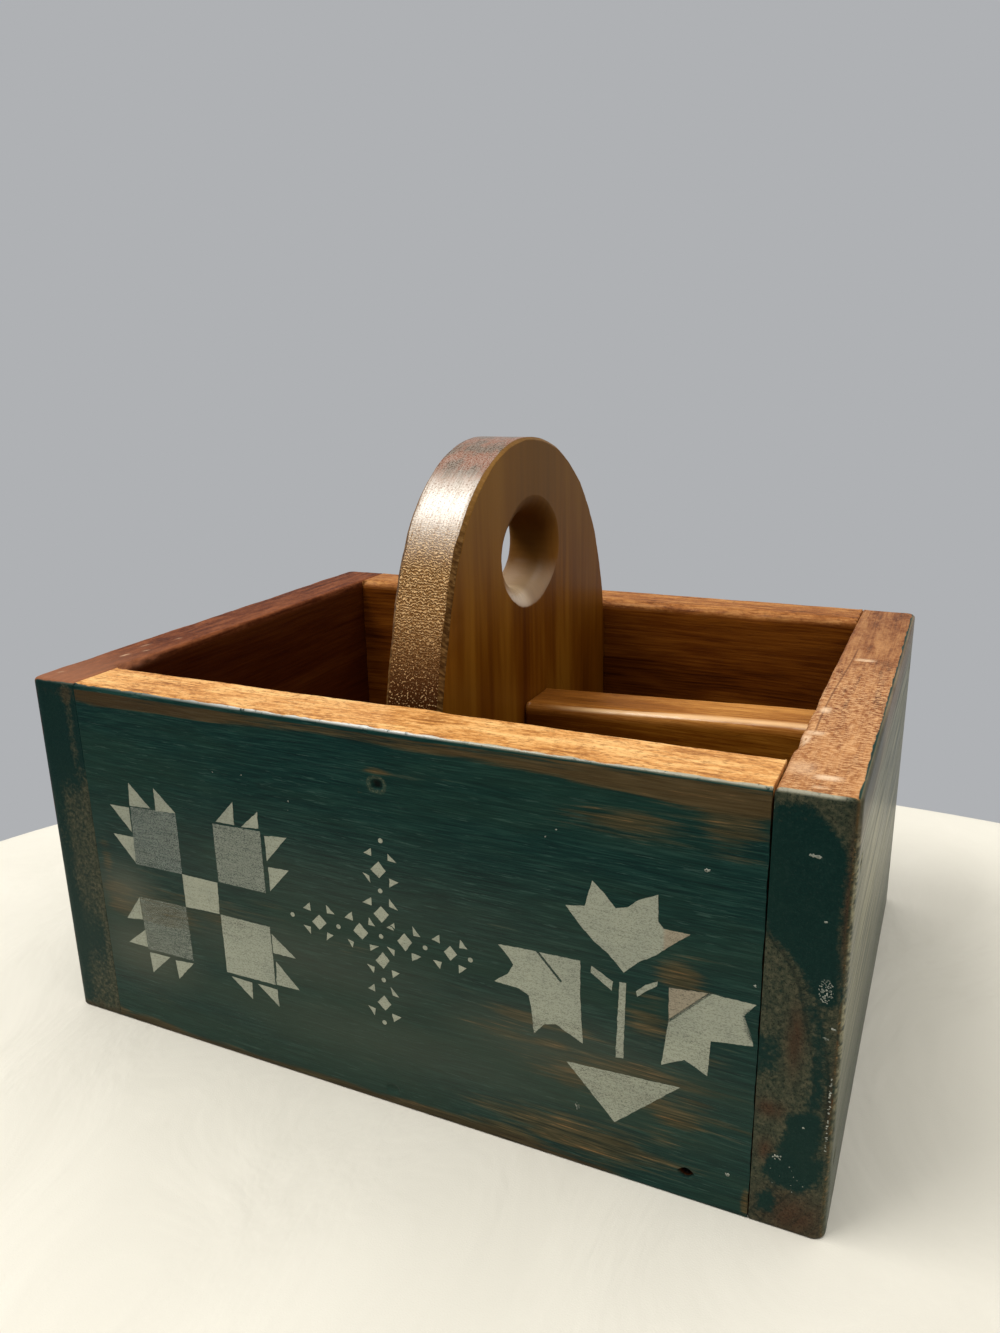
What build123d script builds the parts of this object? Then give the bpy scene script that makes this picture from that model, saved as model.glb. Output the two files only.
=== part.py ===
from build123d import *
from math import atan2, degrees
import os

# Wooden tote box: four nailed walls round an inset bottom, an arched handle board
# across the middle and a low divider on its right.
# X runs along the front, Y from front to back, Z up. The origin is under the middle.

# Overall sizes
length = 254.0
depth = 187.0
rim_height = 121.0
handle_height = 191.5

# Boards
stock = 19.0
bottom_thickness = 13.0
divider_drop = 19.0

# Handle outline: each edge stands against its wall up to its spring point, a drop below
# the rim, then leaves it in a large arc and meets the crest in a smaller one
crest_shift = -4.6
front_spring_drop = 55.5
front_crest_radius = 58.0
back_spring_drop = 18.3
back_crest_radius = 76.0

# Hand hole: an oval of four arcs, a drop below the crest
grip_width = 37.0
grip_height = 25.0
grip_end_radius = 9.0
grip_drop = 37.3
grip_shift = -1.5

# Eased edges
corner_round = 3.5
edge_round = 1.5
back_rim_round = 4.0
handle_round = 2.4
grip_round = 5.8
divider_round = 3.5

# Finishing nails: flat shanks with narrow heads, set below the surface
nail_length = 50.0
nail_width = 2.0
nail_thickness = 1.8
nail_point = 3.0
head_width = 3.8
head_thickness = 1.4
head_depth = 1.5
nail_fit = 0.05
pocket_fit = 0.3
point_gap = 0.5

# Where the nails go
corner_nail_count = 2
corner_nail_margin = 19.0
handle_nail_drops = (16.0, 61.0)
handle_nail_shift = 2.0
bottom_nail_margin = 36.0
nail_crossing_gap = 12.0
divider_nail_margin = 24.0

# Places that follow from the sizes
half_length = length / 2
half_depth = depth / 2
inner_half_length = half_length - stock
inner_half_depth = half_depth - stock
wall_middle = half_depth - stock / 2
half_stock = stock / 2
divider_top = rim_height - divider_drop
front_spring = rim_height - front_spring_drop
back_spring = rim_height - back_spring_drop
grip_middle = handle_height - grip_drop

sides = (-1, 1)


def seat(x, y, z, outward):
    """Plane at a nail's place on a board's face, facing out, with the head's width level."""
    return Plane(origin=(x, y, z), x_dir=(outward[1], outward[0], 0), z_dir=outward)


def large_arc(along, across, small):
    """Radius and turn of the arc that a small one runs on into, up to a straight end.

    The two arcs together turn a right angle. Along and across are their extents, along
    the straight end's direction and across it.
    """
    radius = ((along - small) ** 2 + across**2 - small**2) / (2 * (across - small))
    return radius, degrees(atan2(along - small, radius - across))


# One nail under a seat, and the room that it takes in the wood
with BuildPart() as nail:
    with BuildSketch(Plane.XZ):
        with BuildLine():
            Polyline(
                (0, -head_depth),
                (head_width / 2, -head_depth),
                (head_width / 2, -head_depth - head_thickness),
                (nail_width / 2, -head_depth - head_thickness),
                (nail_width / 2, -head_depth - nail_length + nail_point),
                (0, -head_depth - nail_length),
            )
            mirror(about=Plane.YZ)
        make_face()
    extrude(amount=nail_thickness / 2, both=True)

with BuildPart() as nail_room:
    with BuildSketch():
        Rectangle(head_width + 2 * pocket_fit, nail_thickness + 2 * pocket_fit)
    extrude(amount=-head_depth - head_thickness)
    with BuildSketch():
        Rectangle(nail_width + 2 * nail_fit, nail_thickness + 2 * nail_fit)
    extrude(amount=-head_depth - nail_length - point_gap)


def drill(seats):
    """Cut the room of every nail that starts at one of the seats."""
    with Locations(*seats):
        add(nail_room.part, mode=Mode.SUBTRACT)


# Nail seats, grouped by the joint that the nails hold
corner_step = (rim_height - 2 * corner_nail_margin) / (corner_nail_count - 1)
corner_heights = [corner_nail_margin + i * corner_step for i in range(corner_nail_count)]
corner_seats = [
    seat(side * half_length, wall * wall_middle, z, (side, 0, 0))
    for side in sides
    for wall in sides
    for z in corner_heights
]

handle_seats = [
    seat(handle_nail_shift, wall * half_depth, rim_height - drop, (0, wall, 0))
    for wall in sides
    for drop in handle_nail_drops
]

bottom_nail_x = half_length - bottom_nail_margin
bottom_nail_y = half_depth - nail_length - nail_crossing_gap
bottom_seats = [
    seat(x, wall * half_depth, bottom_thickness / 2, (0, wall, 0))
    for wall in sides
    for x in (-bottom_nail_x, handle_nail_shift, bottom_nail_x)
] + [
    seat(side * half_length, y, bottom_thickness / 2, (side, 0, 0))
    for side in sides
    for y in (-bottom_nail_y, bottom_nail_y)
]

divider_heights = (bottom_thickness + divider_nail_margin, divider_top - divider_nail_margin)
divider_seats = [
    seat(x, 0, z, (way, 0, 0))
    for x, way in ((-half_stock, -1), (half_length, 1))
    for z in divider_heights
]

# Front and back walls, between the end boards
with BuildPart() as front_board:
    with BuildSketch(Plane.XY):
        with Locations((0, -wall_middle)):
            Rectangle(2 * inner_half_length, stock)
    extrude(amount=rim_height)
    rim = front_board.faces().sort_by(Axis.Z)[-1]
    fillet(rim.edges().filter_by(Axis.X), edge_round)
    drill(corner_seats + handle_seats + bottom_seats)

with BuildPart() as back_board:
    with BuildSketch(Plane.XY):
        with Locations((0, wall_middle)):
            Rectangle(2 * inner_half_length, stock)
    extrude(amount=rim_height)
    rim = back_board.faces().sort_by(Axis.Z)[-1]
    inner_edge, outer_edge = rim.edges().filter_by(Axis.X).sort_by(Axis.Y)
    fillet(inner_edge, back_rim_round)
    fillet(outer_edge, edge_round)
    drill(corner_seats + handle_seats + bottom_seats)


def end_board(side):
    """End wall over the full depth, with its outer corners rounded."""
    with BuildPart() as board:
        with BuildSketch(Plane.XY):
            with Locations((side * (half_length - half_stock), 0)):
                Rectangle(stock, depth)
        extrude(amount=rim_height)
        outer_face = board.faces().sort_by(Axis.X)[-1 if side > 0 else 0]
        fillet(outer_face.edges().filter_by(Axis.Z), corner_round)
        top_face = board.faces().sort_by(Axis.Z)[-1]
        fillet(top_face.edges(), edge_round)
        drill(corner_seats + bottom_seats + divider_seats)
    return board.part


left_end_board = end_board(-1)
right_end_board = end_board(1)

# Bottom, inset between the four walls and flush with their lower edges
with BuildPart() as bottom_board:
    with BuildSketch(Plane.XY):
        Rectangle(2 * inner_half_length, 2 * inner_half_depth)
    extrude(amount=bottom_thickness)
    drill(bottom_seats)

# Handle board: one profile with the arch and the hand hole, then its eased edges
front_radius, front_turn = large_arc(
    handle_height - front_spring, inner_half_depth + crest_shift, front_crest_radius
)
back_radius, back_turn = large_arc(
    handle_height - back_spring, inner_half_depth - crest_shift, back_crest_radius
)
grip_flat_radius, grip_flat_turn = large_arc(grip_width / 2, grip_height / 2, grip_end_radius)

with BuildSketch() as grip:
    with BuildLine():
        end = JernArc((grip_width / 2, 0), (0, 1), grip_end_radius, 90 - grip_flat_turn)
        JernArc(end @ 1, end % 1, grip_flat_radius, grip_flat_turn)
        mirror(about=Plane.YZ)
        mirror(about=Plane.XZ)
    make_face()

with BuildPart() as handle_board:
    with BuildSketch(Plane.YZ.offset(-half_stock)):
        with BuildLine():
            foot = Line((-inner_half_depth, bottom_thickness), (inner_half_depth, bottom_thickness))
            back_edge = Line(foot @ 1, (inner_half_depth, back_spring))
            back_side = JernArc(back_edge @ 1, back_edge % 1, back_radius, back_turn)
            back_crest = JernArc(back_side @ 1, back_side % 1, back_crest_radius, 90 - back_turn)
            front_crest = JernArc(back_crest @ 1, back_crest % 1, front_crest_radius, 90 - front_turn)
            front_side = JernArc(front_crest @ 1, front_crest % 1, front_radius, front_turn)
            Line(front_side @ 1, foot @ 0)
        make_face()
        with Locations((grip_shift, grip_middle)):
            add(grip.sketch, mode=Mode.SUBTRACT)
    extrude(amount=stock)
    broad_faces = handle_board.faces().filter_by(Axis.X)
    grip_edges = [edge for face in broad_faces for wire in face.inner_wires() for edge in wire.edges()]
    fillet(grip_edges, grip_round)
    broad_faces = handle_board.faces().filter_by(Axis.X)
    outline = [edge for face in broad_faces for edge in face.outer_wire().edges()]
    eased = [edge for edge in outline if edge.center().Z > bottom_thickness + handle_round]
    fillet(eased, handle_round)
    drill(handle_seats + divider_seats)

# Divider, from the handle to the right end board
with BuildPart() as divider_board:
    with BuildSketch(Plane.XY.offset(bottom_thickness)):
        with Locations(((half_stock + inner_half_length) / 2, 0)):
            Rectangle(inner_half_length - half_stock, stock)
    extrude(amount=divider_top - bottom_thickness)
    top = divider_board.faces().sort_by(Axis.Z)[-1]
    fillet(top.edges().filter_by(Axis.X), divider_round)
    drill(divider_seats)

def nail_group(seats):
    """A nail in every seat, as separate solids."""
    with BuildPart() as group:
        with Locations(*seats):
            add(nail.part)
    return group.part


pieces = {
    "front_board": front_board.part,
    "back_board": back_board.part,
    "left_end_board": left_end_board,
    "right_end_board": right_end_board,
    "bottom_board": bottom_board.part,
    "handle_board": handle_board.part,
    "divider_board": divider_board.part,
    "corner_nails": nail_group(corner_seats),
    "handle_nails": nail_group(handle_seats),
    "bottom_nails": nail_group(bottom_seats),
    "divider_nails": nail_group(divider_seats),
}

os.makedirs("parts", exist_ok=True)
for name, piece in pieces.items():
    piece.label = name
    export_step(piece, f"parts/{name}.step")
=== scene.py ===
import math
from functools import partial

import bmesh
import bpy
import numpy as np
from mathutils import Matrix, Vector


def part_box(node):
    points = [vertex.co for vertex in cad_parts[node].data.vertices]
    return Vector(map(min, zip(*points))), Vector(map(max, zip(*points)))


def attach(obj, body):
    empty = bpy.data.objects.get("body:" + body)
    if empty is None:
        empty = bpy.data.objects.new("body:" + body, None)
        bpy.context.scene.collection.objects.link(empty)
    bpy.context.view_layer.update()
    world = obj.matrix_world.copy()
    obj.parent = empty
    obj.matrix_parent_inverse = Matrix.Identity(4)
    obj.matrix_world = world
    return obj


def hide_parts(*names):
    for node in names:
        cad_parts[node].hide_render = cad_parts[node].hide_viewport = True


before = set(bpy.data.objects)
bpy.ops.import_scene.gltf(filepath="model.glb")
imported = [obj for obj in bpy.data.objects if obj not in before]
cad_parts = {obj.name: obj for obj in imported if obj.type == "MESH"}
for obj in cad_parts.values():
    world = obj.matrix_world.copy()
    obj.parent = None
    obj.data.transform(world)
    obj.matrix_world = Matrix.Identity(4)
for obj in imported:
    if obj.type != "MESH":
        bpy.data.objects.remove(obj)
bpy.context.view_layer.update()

mm = 0.001
halfLength, halfDepth, rimHeight = 127.0, 93.5, 121.0      # the box, mm


# nodes
def addNode(tree, kind, settings=None, sockets=None):
    # a node of any tree: its settings are set first, then the values or links of its sockets
    node = tree.nodes.new(kind)
    for key, value in (settings or {}).items():
        if key == "stops":
            ramp = node.color_ramp
            while len(ramp.elements) < len(value):
                ramp.elements.new(0.5)
            for element, (place, colour) in zip(ramp.elements, value):
                element.position = place
                element.color = colour + (1.0,)
        else:
            setattr(node, key, value)
    for key, value in (sockets or {}).items():
        socket = node.inputs[key]
        if isinstance(value, Level):
            value = value.socket
        if isinstance(value, bpy.types.NodeSocket):
            tree.links.new(value, socket)
        elif isinstance(value, tuple) and socket.type == "RGBA" and len(value) == 3:
            socket.default_value = value + (1.0,)
        else:
            socket.default_value = value
    return node


# shader maths
class Level:
    # one number that varies over a surface: expressions on it add Math nodes
    def __init__(self, finish, socket):
        self.finish = finish
        self.socket = socket

    def math(self, operation, *others):
        sockets = dict(enumerate((self,) + others))
        node = self.finish.add("ShaderNodeMath", {"operation": operation}, sockets)
        return Level(self.finish, node.outputs[0])

    def __add__(self, other):
        return self.math("ADD", other)

    def __sub__(self, other):
        return self.math("SUBTRACT", other)

    def __mul__(self, other):
        return self.math("MULTIPLY", other)

    def __truediv__(self, other):
        return self.math("DIVIDE", other)

    def __pow__(self, other):
        return self.math("POWER", other)

    __radd__ = __add__
    __rmul__ = __mul__

    def __rsub__(self, other):
        node = self.finish.add("ShaderNodeMath", {"operation": "SUBTRACT"}, {0: other, 1: self})
        return Level(self.finish, node.outputs[0])

    def size(self):
        return self.math("ABSOLUTE")

    def part(self):
        return self.math("FRACT")

    def most(self, other):
        return self.math("MAXIMUM", other)

    def least(self, other):
        return self.math("MINIMUM", other)

    def wave(self):
        return self.math("SINE")

    def over(self, low, high, start=0.0, end=1.0):
        # smooth step between two levels
        node = self.finish.add("ShaderNodeMapRange", {"interpolation_type": "SMOOTHSTEP"},
                               {0: self, 1: low, 2: high, 3: start, 4: end})
        return Level(self.finish, node.outputs[0])


class Finish:
    # a material and the few ways in which nodes are put into it
    def __init__(self, name):
        self.material = bpy.data.materials.new(name)
        self.material.use_nodes = True
        self.tree = self.material.node_tree
        self.tree.nodes.clear()

    def add(self, kind, settings=None, sockets=None):
        return addNode(self.tree, kind, settings, sockets)

    def place(self):
        # where a point is on the object, in millimetres
        node = self.add("ShaderNodeTexCoord")
        return self.scaled(node.outputs["Object"], (1 / mm, 1 / mm, 1 / mm))

    def attribute(self, name, vector=False):
        node = self.add("ShaderNodeAttribute", {"attribute_name": name})
        return node.outputs["Vector"] if vector else Level(self, node.outputs["Fac"])

    def axes(self, vector):
        node = self.add("ShaderNodeSeparateXYZ", None, {0: vector})
        return [Level(self, socket) for socket in node.outputs]

    def vector(self, x, y, z):
        return self.add("ShaderNodeCombineXYZ", None, {0: x, 1: y, 2: z}).outputs[0]

    def scaled(self, vector, by):
        return self.add("ShaderNodeVectorMath", {"operation": "MULTIPLY"}, {0: vector, 1: by}).outputs[0]

    def added(self, vector, by):
        return self.add("ShaderNodeVectorMath", {"operation": "ADD"}, {0: vector, 1: by}).outputs[0]

    def noise(self, vector, scale=1.0, detail=2.0, rough=0.5, bend=0.0):
        sockets = {"Vector": vector, "Scale": scale, "Detail": detail, "Roughness": rough, "Distortion": bend}
        return Level(self, self.add("ShaderNodeTexNoise", None, sockets).outputs["Fac"])

    def blend(self, factor, first, second):
        settings = {"data_type": "RGBA", "clamp_factor": True}
        return self.add("ShaderNodeMix", settings, {0: factor, 6: first, 7: second}).outputs[2]

    def ramp(self, level, stops):
        return self.add("ShaderNodeValToRGB", {"stops": stops}, {0: level}).outputs["Color"]

    def bump(self, height, depth, normal=None):
        # depth is how many millimetres the height's 0 to 1 stands for
        sockets = {"Strength": 1.0, "Distance": depth * mm, "Height": height}
        if normal is not None:
            sockets["Normal"] = normal
        return self.add("ShaderNodeBump", None, sockets).outputs["Normal"]

    def surface(self, sockets, constants=None):
        # closes the material with its shader; the constants are the same all over the surface
        shader = self.add("ShaderNodeBsdfPrincipled", None, {**(constants or {}), **sockets})
        self.add("ShaderNodeOutputMaterial", None, {"Surface": shader.outputs[0]})
        return self.material


def tone(red, green, blue):
    # a colour as it looks on screen, as the linear value that nodes take
    def linear(value):
        value /= 255
        return value / 12.92 if value <= 0.04045 else ((value + 0.055) / 1.055) ** 2.4
    return linear(red), linear(green), linear(blue)


# camera
camera = {
    "place": (141.16, -308.08, 212.68),    # mm
    "turn": 25.204,                        # degrees round the object
    "down": 16.516,
    "roll": -1.171,
    "focalLength": 27.06,                  # on a sensor 36 mm long
    "sensor": 36.0,
    "clip": (0.01, 20.0),                  # m
}


def makeCamera():
    turn, down, roll = (math.radians(camera[key]) for key in ("turn", "down", "roll"))
    ahead = Vector((-math.sin(turn) * math.cos(down), math.cos(turn) * math.cos(down), -math.sin(down)))
    across = Vector((math.cos(turn), math.sin(turn), 0))
    up = across.cross(ahead)
    sideways = math.cos(roll) * across + math.sin(roll) * up
    upwards = -math.sin(roll) * across + math.cos(roll) * up
    data = bpy.data.cameras.new("camera")
    data.lens, data.sensor_width, data.sensor_fit = camera["focalLength"], camera["sensor"], "AUTO"
    data.clip_start, data.clip_end = camera["clip"]
    holder = bpy.data.objects.new("camera", data)
    bpy.context.scene.collection.objects.link(holder)
    turned = Matrix((sideways, upwards, -ahead)).transposed().to_4x4()
    holder.matrix_world = Matrix.Translation(Vector(camera["place"]) * mm) @ turned
    bpy.context.scene.camera = holder


makeCamera()
bpy.context.scene.view_settings.view_transform = "Standard"
print("camera")


# meshes
def makePiece(name, points, faces, attributes=None):
    # a mesh object at the origin, from points in millimetres
    mesh = bpy.data.meshes.new(name)
    faces = faces.tolist() if isinstance(faces, np.ndarray) else faces
    mesh.from_pydata((np.asarray(points, float) * mm).tolist(), [], faces)
    for key, values in (attributes or {}).items():
        values = np.asarray(values, float)
        if values.ndim == 1:
            mesh.attributes.new(key, "FLOAT", "POINT").data.foreach_set("value", values)
        else:
            mesh.attributes.new(key, "FLOAT_VECTOR", "POINT").data.foreach_set("vector", values.ravel())
    mesh.polygons.foreach_set("use_smooth", [True] * len(mesh.polygons))
    mesh.update()
    piece = bpy.data.objects.new(name, mesh)
    bpy.context.scene.collection.objects.link(piece)
    return piece


def unevenness(along, seed, size):
    # a smooth wobble along an edge, about -1 to 1, the same each run
    draw = np.random.default_rng(seed)
    total = np.zeros_like(along)
    for octave in range(5):
        turns = 2 ** octave * draw.uniform(0.8, 1.25)
        total += np.sin(2 * np.pi * (along / size * turns + draw.random())) / 1.5 ** octave
    return total / 1.9


def spacedLines(low, high, step, close, ends):
    # places of a grid's lines: closer in the close spans (middle, reach, step) and at both ends,
    # where ends are their distances from the end
    places = list(np.linspace(low, high, max(2, int(round((high - low) / step)) + 1)))
    for middle, reach, fine in close:
        a, b = max(low, middle - reach), min(high, middle + reach)
        places = [p for p in places if not a <= p <= b]
        places += list(np.linspace(a, b, max(2, int(round((b - a) / fine)) + 1)))
    reach = min(ends[-1], (high - low) / 2.2)
    places = [p for p in places if low + reach < p < high - reach]
    for e in ends:
        if e <= reach:
            places += [low + e, high - e]
    places = sorted(set(np.round(places, 4)))
    kept = [places[0]]
    for p in places[1:]:
        if p - kept[-1] > 0.06:
            kept.append(p)
    kept[-1] = high
    return np.array(kept)


def boxGrid(xs, ys, zs):
    # the closed surface of a box, as points on a grid and outward quads
    shape = (len(xs), len(ys), len(zs))
    skin = np.zeros(shape, bool)
    skin[[0, -1]] = True
    skin[:, [0, -1]] = True
    skin[:, :, [0, -1]] = True
    index = np.full(shape, -1)
    index[skin] = np.arange(skin.sum())
    points = np.stack(np.meshgrid(xs, ys, zs, indexing="ij"), -1)[skin]
    quads = []
    for sheet, flip in ((index[:, :, 0], True), (index[:, :, -1], False), (index[:, 0], False),
                        (index[:, -1], True), (index[0], True), (index[-1], False)):
        quad = np.stack([sheet[:-1, :-1], sheet[1:, :-1], sheet[1:, 1:], sheet[:-1, 1:]], -1).reshape(-1, 4)
        quads.append(quad[:, ::-1] if flip else quad)
    return points, np.concatenate(quads)


def easeBox(points, low, high, corners, tops, seed, wobble=0.25, bottom=0.6):
    # rounds a box's upright corners, then its top and bottom edges, each with its own radius
    # corners: radius by (x side, y side); tops: radius by side, one each for -x, +x, -y, +y
    p = points.copy()
    toLow, toHigh = p - low, high - p
    side = np.where(toLow < toHigh, -1, 1)
    gap = np.minimum(toLow, toHigh)
    gapX, gapY = gap[:, 0], gap[:, 1]
    radius = np.zeros(len(p))
    for (sx, sy), value in corners.items():
        radius[(side[:, 0] == sx) & (side[:, 1] == sy)] = value
    vx, vy = np.clip(radius - gapX, 0, None), np.clip(radius - gapY, 0, None)
    inCorner = (vx > 0) & (vy > 0)
    length = np.hypot(vx, vy)
    length[length == 0] = 1
    shrink = np.where(inCorner, np.maximum(vx, vy) / length, 1)
    out = np.zeros((len(p), 2))
    nearX = gapX < gapY
    out[nearX, 0], out[~nearX, 1] = side[nearX, 0], side[~nearX, 1]
    out[inCorner] = np.stack([vx / length * side[:, 0], vy / length * side[:, 1]], -1)[inCorner]
    p[:, 0] += np.where(inCorner, side[:, 0] * vx * (shrink - 1), 0)
    p[:, 1] += np.where(inCorner, side[:, 1] * vy * (shrink - 1), 0)
    inset = np.minimum(gapX, gapY)

    topX = np.where(side[:, 0] < 0, tops[0], tops[1])
    topY = np.where(side[:, 1] < 0, tops[2], tops[3])
    weight = out ** 2
    ease = topX * weight[:, 0] + topY * weight[:, 1]
    along = np.where(nearX, p[:, 1], p[:, 0]) + 300 * side[:, 0] + 700 * side[:, 1]
    ease = ease * (1 + wobble * unevenness(along, seed, 60.0))
    for gapZ, sign, edge in ((toHigh[:, 2], 1, ease), (toLow[:, 2], -1, np.full(len(p), bottom))):
        a, b = np.clip(edge - inset, 0, None), np.clip(edge - gapZ, 0, None)
        hit = (a > 0) & (b > 0)
        length = np.hypot(a, b)
        length[length == 0] = 1
        scale = np.where(hit, np.maximum(a, b) / length, 1)
        inward = a * (1 - scale)
        p[:, :2] -= out * inward[:, None] * hit[:, None]
        p[:, 2] -= sign * b * (1 - scale) * hit
    return p


def scoop(points, dents):
    # presses dents into a mesh: (middle, reach, depth, direction)
    for middle, reach, depth, direction in dents:
        away = np.linalg.norm((points - np.array(middle)) / np.array(reach), axis=1)
        press = np.clip(1 - away ** 2, 0, 1) ** 2 * depth
        points += press[:, None] * np.array(direction, float)
    return points


def pressMark(points, middle, axes, outward, size, depth, lip, power=2.6):
    # a nail's mark: a pocket of half sizes size, with a raised lip round it. axes are the face's two
    # directions, and the power squares the pocket's outline: 1 is a diamond, 2 an oval
    rel = points - np.array(middle)
    outward = np.array(outward, float)
    a, b = rel @ np.array(axes[0], float), rel @ np.array(axes[1], float)
    edge = ((np.abs(a) / size[0]) ** power + (np.abs(b) / size[1]) ** power) ** (1 / power)
    near = np.abs(rel @ outward) < 1.2
    floor = np.clip((1.0 - edge) / 0.3, 0, 1)
    floor = floor * floor * (3 - 2 * floor)
    ring = np.exp(-((edge - 1.33) / 0.3) ** 2)
    points += ((lip * ring - depth * floor) * near)[:, None] * outward
    return points, np.clip(1.3 - np.abs(edge - 1.2) / 0.3, 0, 1) * near, np.clip(1.25 - edge, 0, 1) * near


# worn, hand-rubbed surface
rubbed = {
    "Wobble": 0.10,        # mm, how far the surface wanders
    "Wobble size": 14.0,   # mm
    "Ripple": 0.03,
    "Ripple size": 2.2,
    "Seed": 3.0,
}


def makeTree(name, inputs):
    # a Geometry Nodes tree with named inputs, and the node that they come in by
    tree = bpy.data.node_groups.new(name, "GeometryNodeTree")
    for key, kind in {"Geometry": "Geometry", **inputs, "Finish": "Material"}.items():
        tree.interface.new_socket(key, in_out="INPUT", socket_type="NodeSocket" + kind)
    tree.interface.new_socket("Geometry", in_out="OUTPUT", socket_type="NodeSocketGeometry")
    return tree, addNode(tree, "NodeGroupInput")


def endTree(tree, geometry, finish):
    # realizes what the tree has made and gives it its material
    real = addNode(tree, "GeometryNodeRealizeInstances", None, {0: geometry})
    paint = addNode(tree, "GeometryNodeSetMaterial", None, {"Geometry": real.outputs[0], "Material": finish})
    addNode(tree, "NodeGroupOutput", None, {0: paint.outputs[0]})
    return tree


def makeRubbedTree():
    # moves a surface in and out by noise, but for what its "still" attribute holds
    tree, enter = makeTree("handRubbed", dict.fromkeys(rubbed, "Float"))
    node = partial(addNode, tree)
    place, normal = node("GeometryNodeInputPosition"), node("GeometryNodeInputNormal")
    still = node("GeometryNodeInputNamedAttribute", {"data_type": "FLOAT"}, {"Name": "still"})

    def maths(operation, first, second):
        return node("ShaderNodeMath", {"operation": operation}, {0: first, 1: second}).outputs[0]

    def wander(height, size):
        noise = node("ShaderNodeTexNoise", {"noise_dimensions": "4D"},
                     {"Vector": place.outputs[0], "W": enter.outputs["Seed"], "Detail": 1.5,
                      "Scale": maths("DIVIDE", 1 / mm, enter.outputs[size])})
        centred = maths("SUBTRACT", noise.outputs["Fac"], 0.5)
        return maths("MULTIPLY", centred, maths("MULTIPLY", enter.outputs[height], 2 * mm))

    move = maths("ADD", wander("Wobble", "Wobble size"), wander("Ripple", "Ripple size"))
    move = maths("MULTIPLY", move, maths("SUBTRACT", 1.0, still.outputs["Attribute"]))
    push = node("ShaderNodeVectorMath", {"operation": "SCALE"}, {0: normal.outputs[0], "Scale": move})
    shift = node("GeometryNodeSetPosition", None,
                 {"Geometry": enter.outputs["Geometry"], "Offset": push.outputs[0]})
    return endTree(tree, shift.outputs[0], enter.outputs["Finish"])


def throughTree(piece, tree, values, material):
    # runs a piece through a Geometry Nodes tree and keeps the result as its plain mesh
    modifier = piece.modifiers.new(tree.name, "NODES")
    modifier.node_group = tree
    names = {item.name: item.identifier for item in tree.interface.items_tree
             if item.item_type == "SOCKET" and item.in_out == "INPUT"}
    for name, value in values.items():
        modifier[names[name]] = value
    modifier[names["Finish"]] = material
    graph = bpy.context.evaluated_depsgraph_get()
    graph.update()
    mesh = bpy.data.meshes.new_from_object(piece.evaluated_get(graph), depsgraph=graph)
    piece.modifiers.clear()
    piece.data = mesh
    mesh.name = piece.name
    mesh.polygons.foreach_set("use_smooth", [True] * len(mesh.polygons))
    if not mesh.materials:
        mesh.materials.append(material)


rubbedTree = makeRubbedTree()


# wood
def woodGrain(finish, place, axis, pith, seed, ringWidth=3.0, sway=5.0):
    # solid wood along one axis: growth rings round a pith, wavy fibres and finer threads
    k = "XYZ".index(axis)

    def weights(across, along):
        return tuple(along if i == k else across for i in range(3))

    offset = (seed * 17.3, seed * -9.1, seed * 5.7)
    slow = finish.scaled(finish.added(place, offset), weights(0.05, 0.010))
    bend = finish.add("ShaderNodeTexNoise", None,
                      {"Vector": slow, "Scale": 1.0, "Detail": 2.0, "Roughness": 0.45})
    bend = finish.added(bend.outputs["Color"], (-0.5, -0.5, -0.5))
    bent = finish.added(place, finish.scaled(bend, weights(sway, 0.0)))
    moved = finish.added(bent, offset)

    def drawn(across, along, detail=3.0, rough=0.6):
        # noise drawn out along the grain, with so many waves to a millimetre across it and along it
        return finish.noise(finish.scaled(moved, weights(across, along)), 1.0, detail, rough)

    axes = [level for i, level in enumerate(finish.axes(bent)) if i != k]
    a, b = axes[0] - pith[0], axes[1] - pith[1]
    radius = (a * a + b * b) ** 0.5
    ring = (radius / ringWidth).part()
    return {
        "late": ring.over(0.35, 0.9) - ring.over(0.93, 1.0),       # the darker half of each ring
        "fibre": drawn(1.3, 0.036, 4.0, 0.65),
        "thread": drawn(4.4, 0.12, 2.0),
        "cloud": finish.noise(slow, 1.5, 3.0, 0.55),
        "pore": drawn(3.0, 0.2, 2.0, 0.65).over(0.56, 0.68),
        "drawn": drawn, "radius": radius, "turn": b.math("ARCTAN2", a),
    }


# a thin old varnish, the same all over
varnish = {"Coat Roughness": 0.22, "Coat IOR": 1.5, "Specular IOR Level": 0.06}


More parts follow.
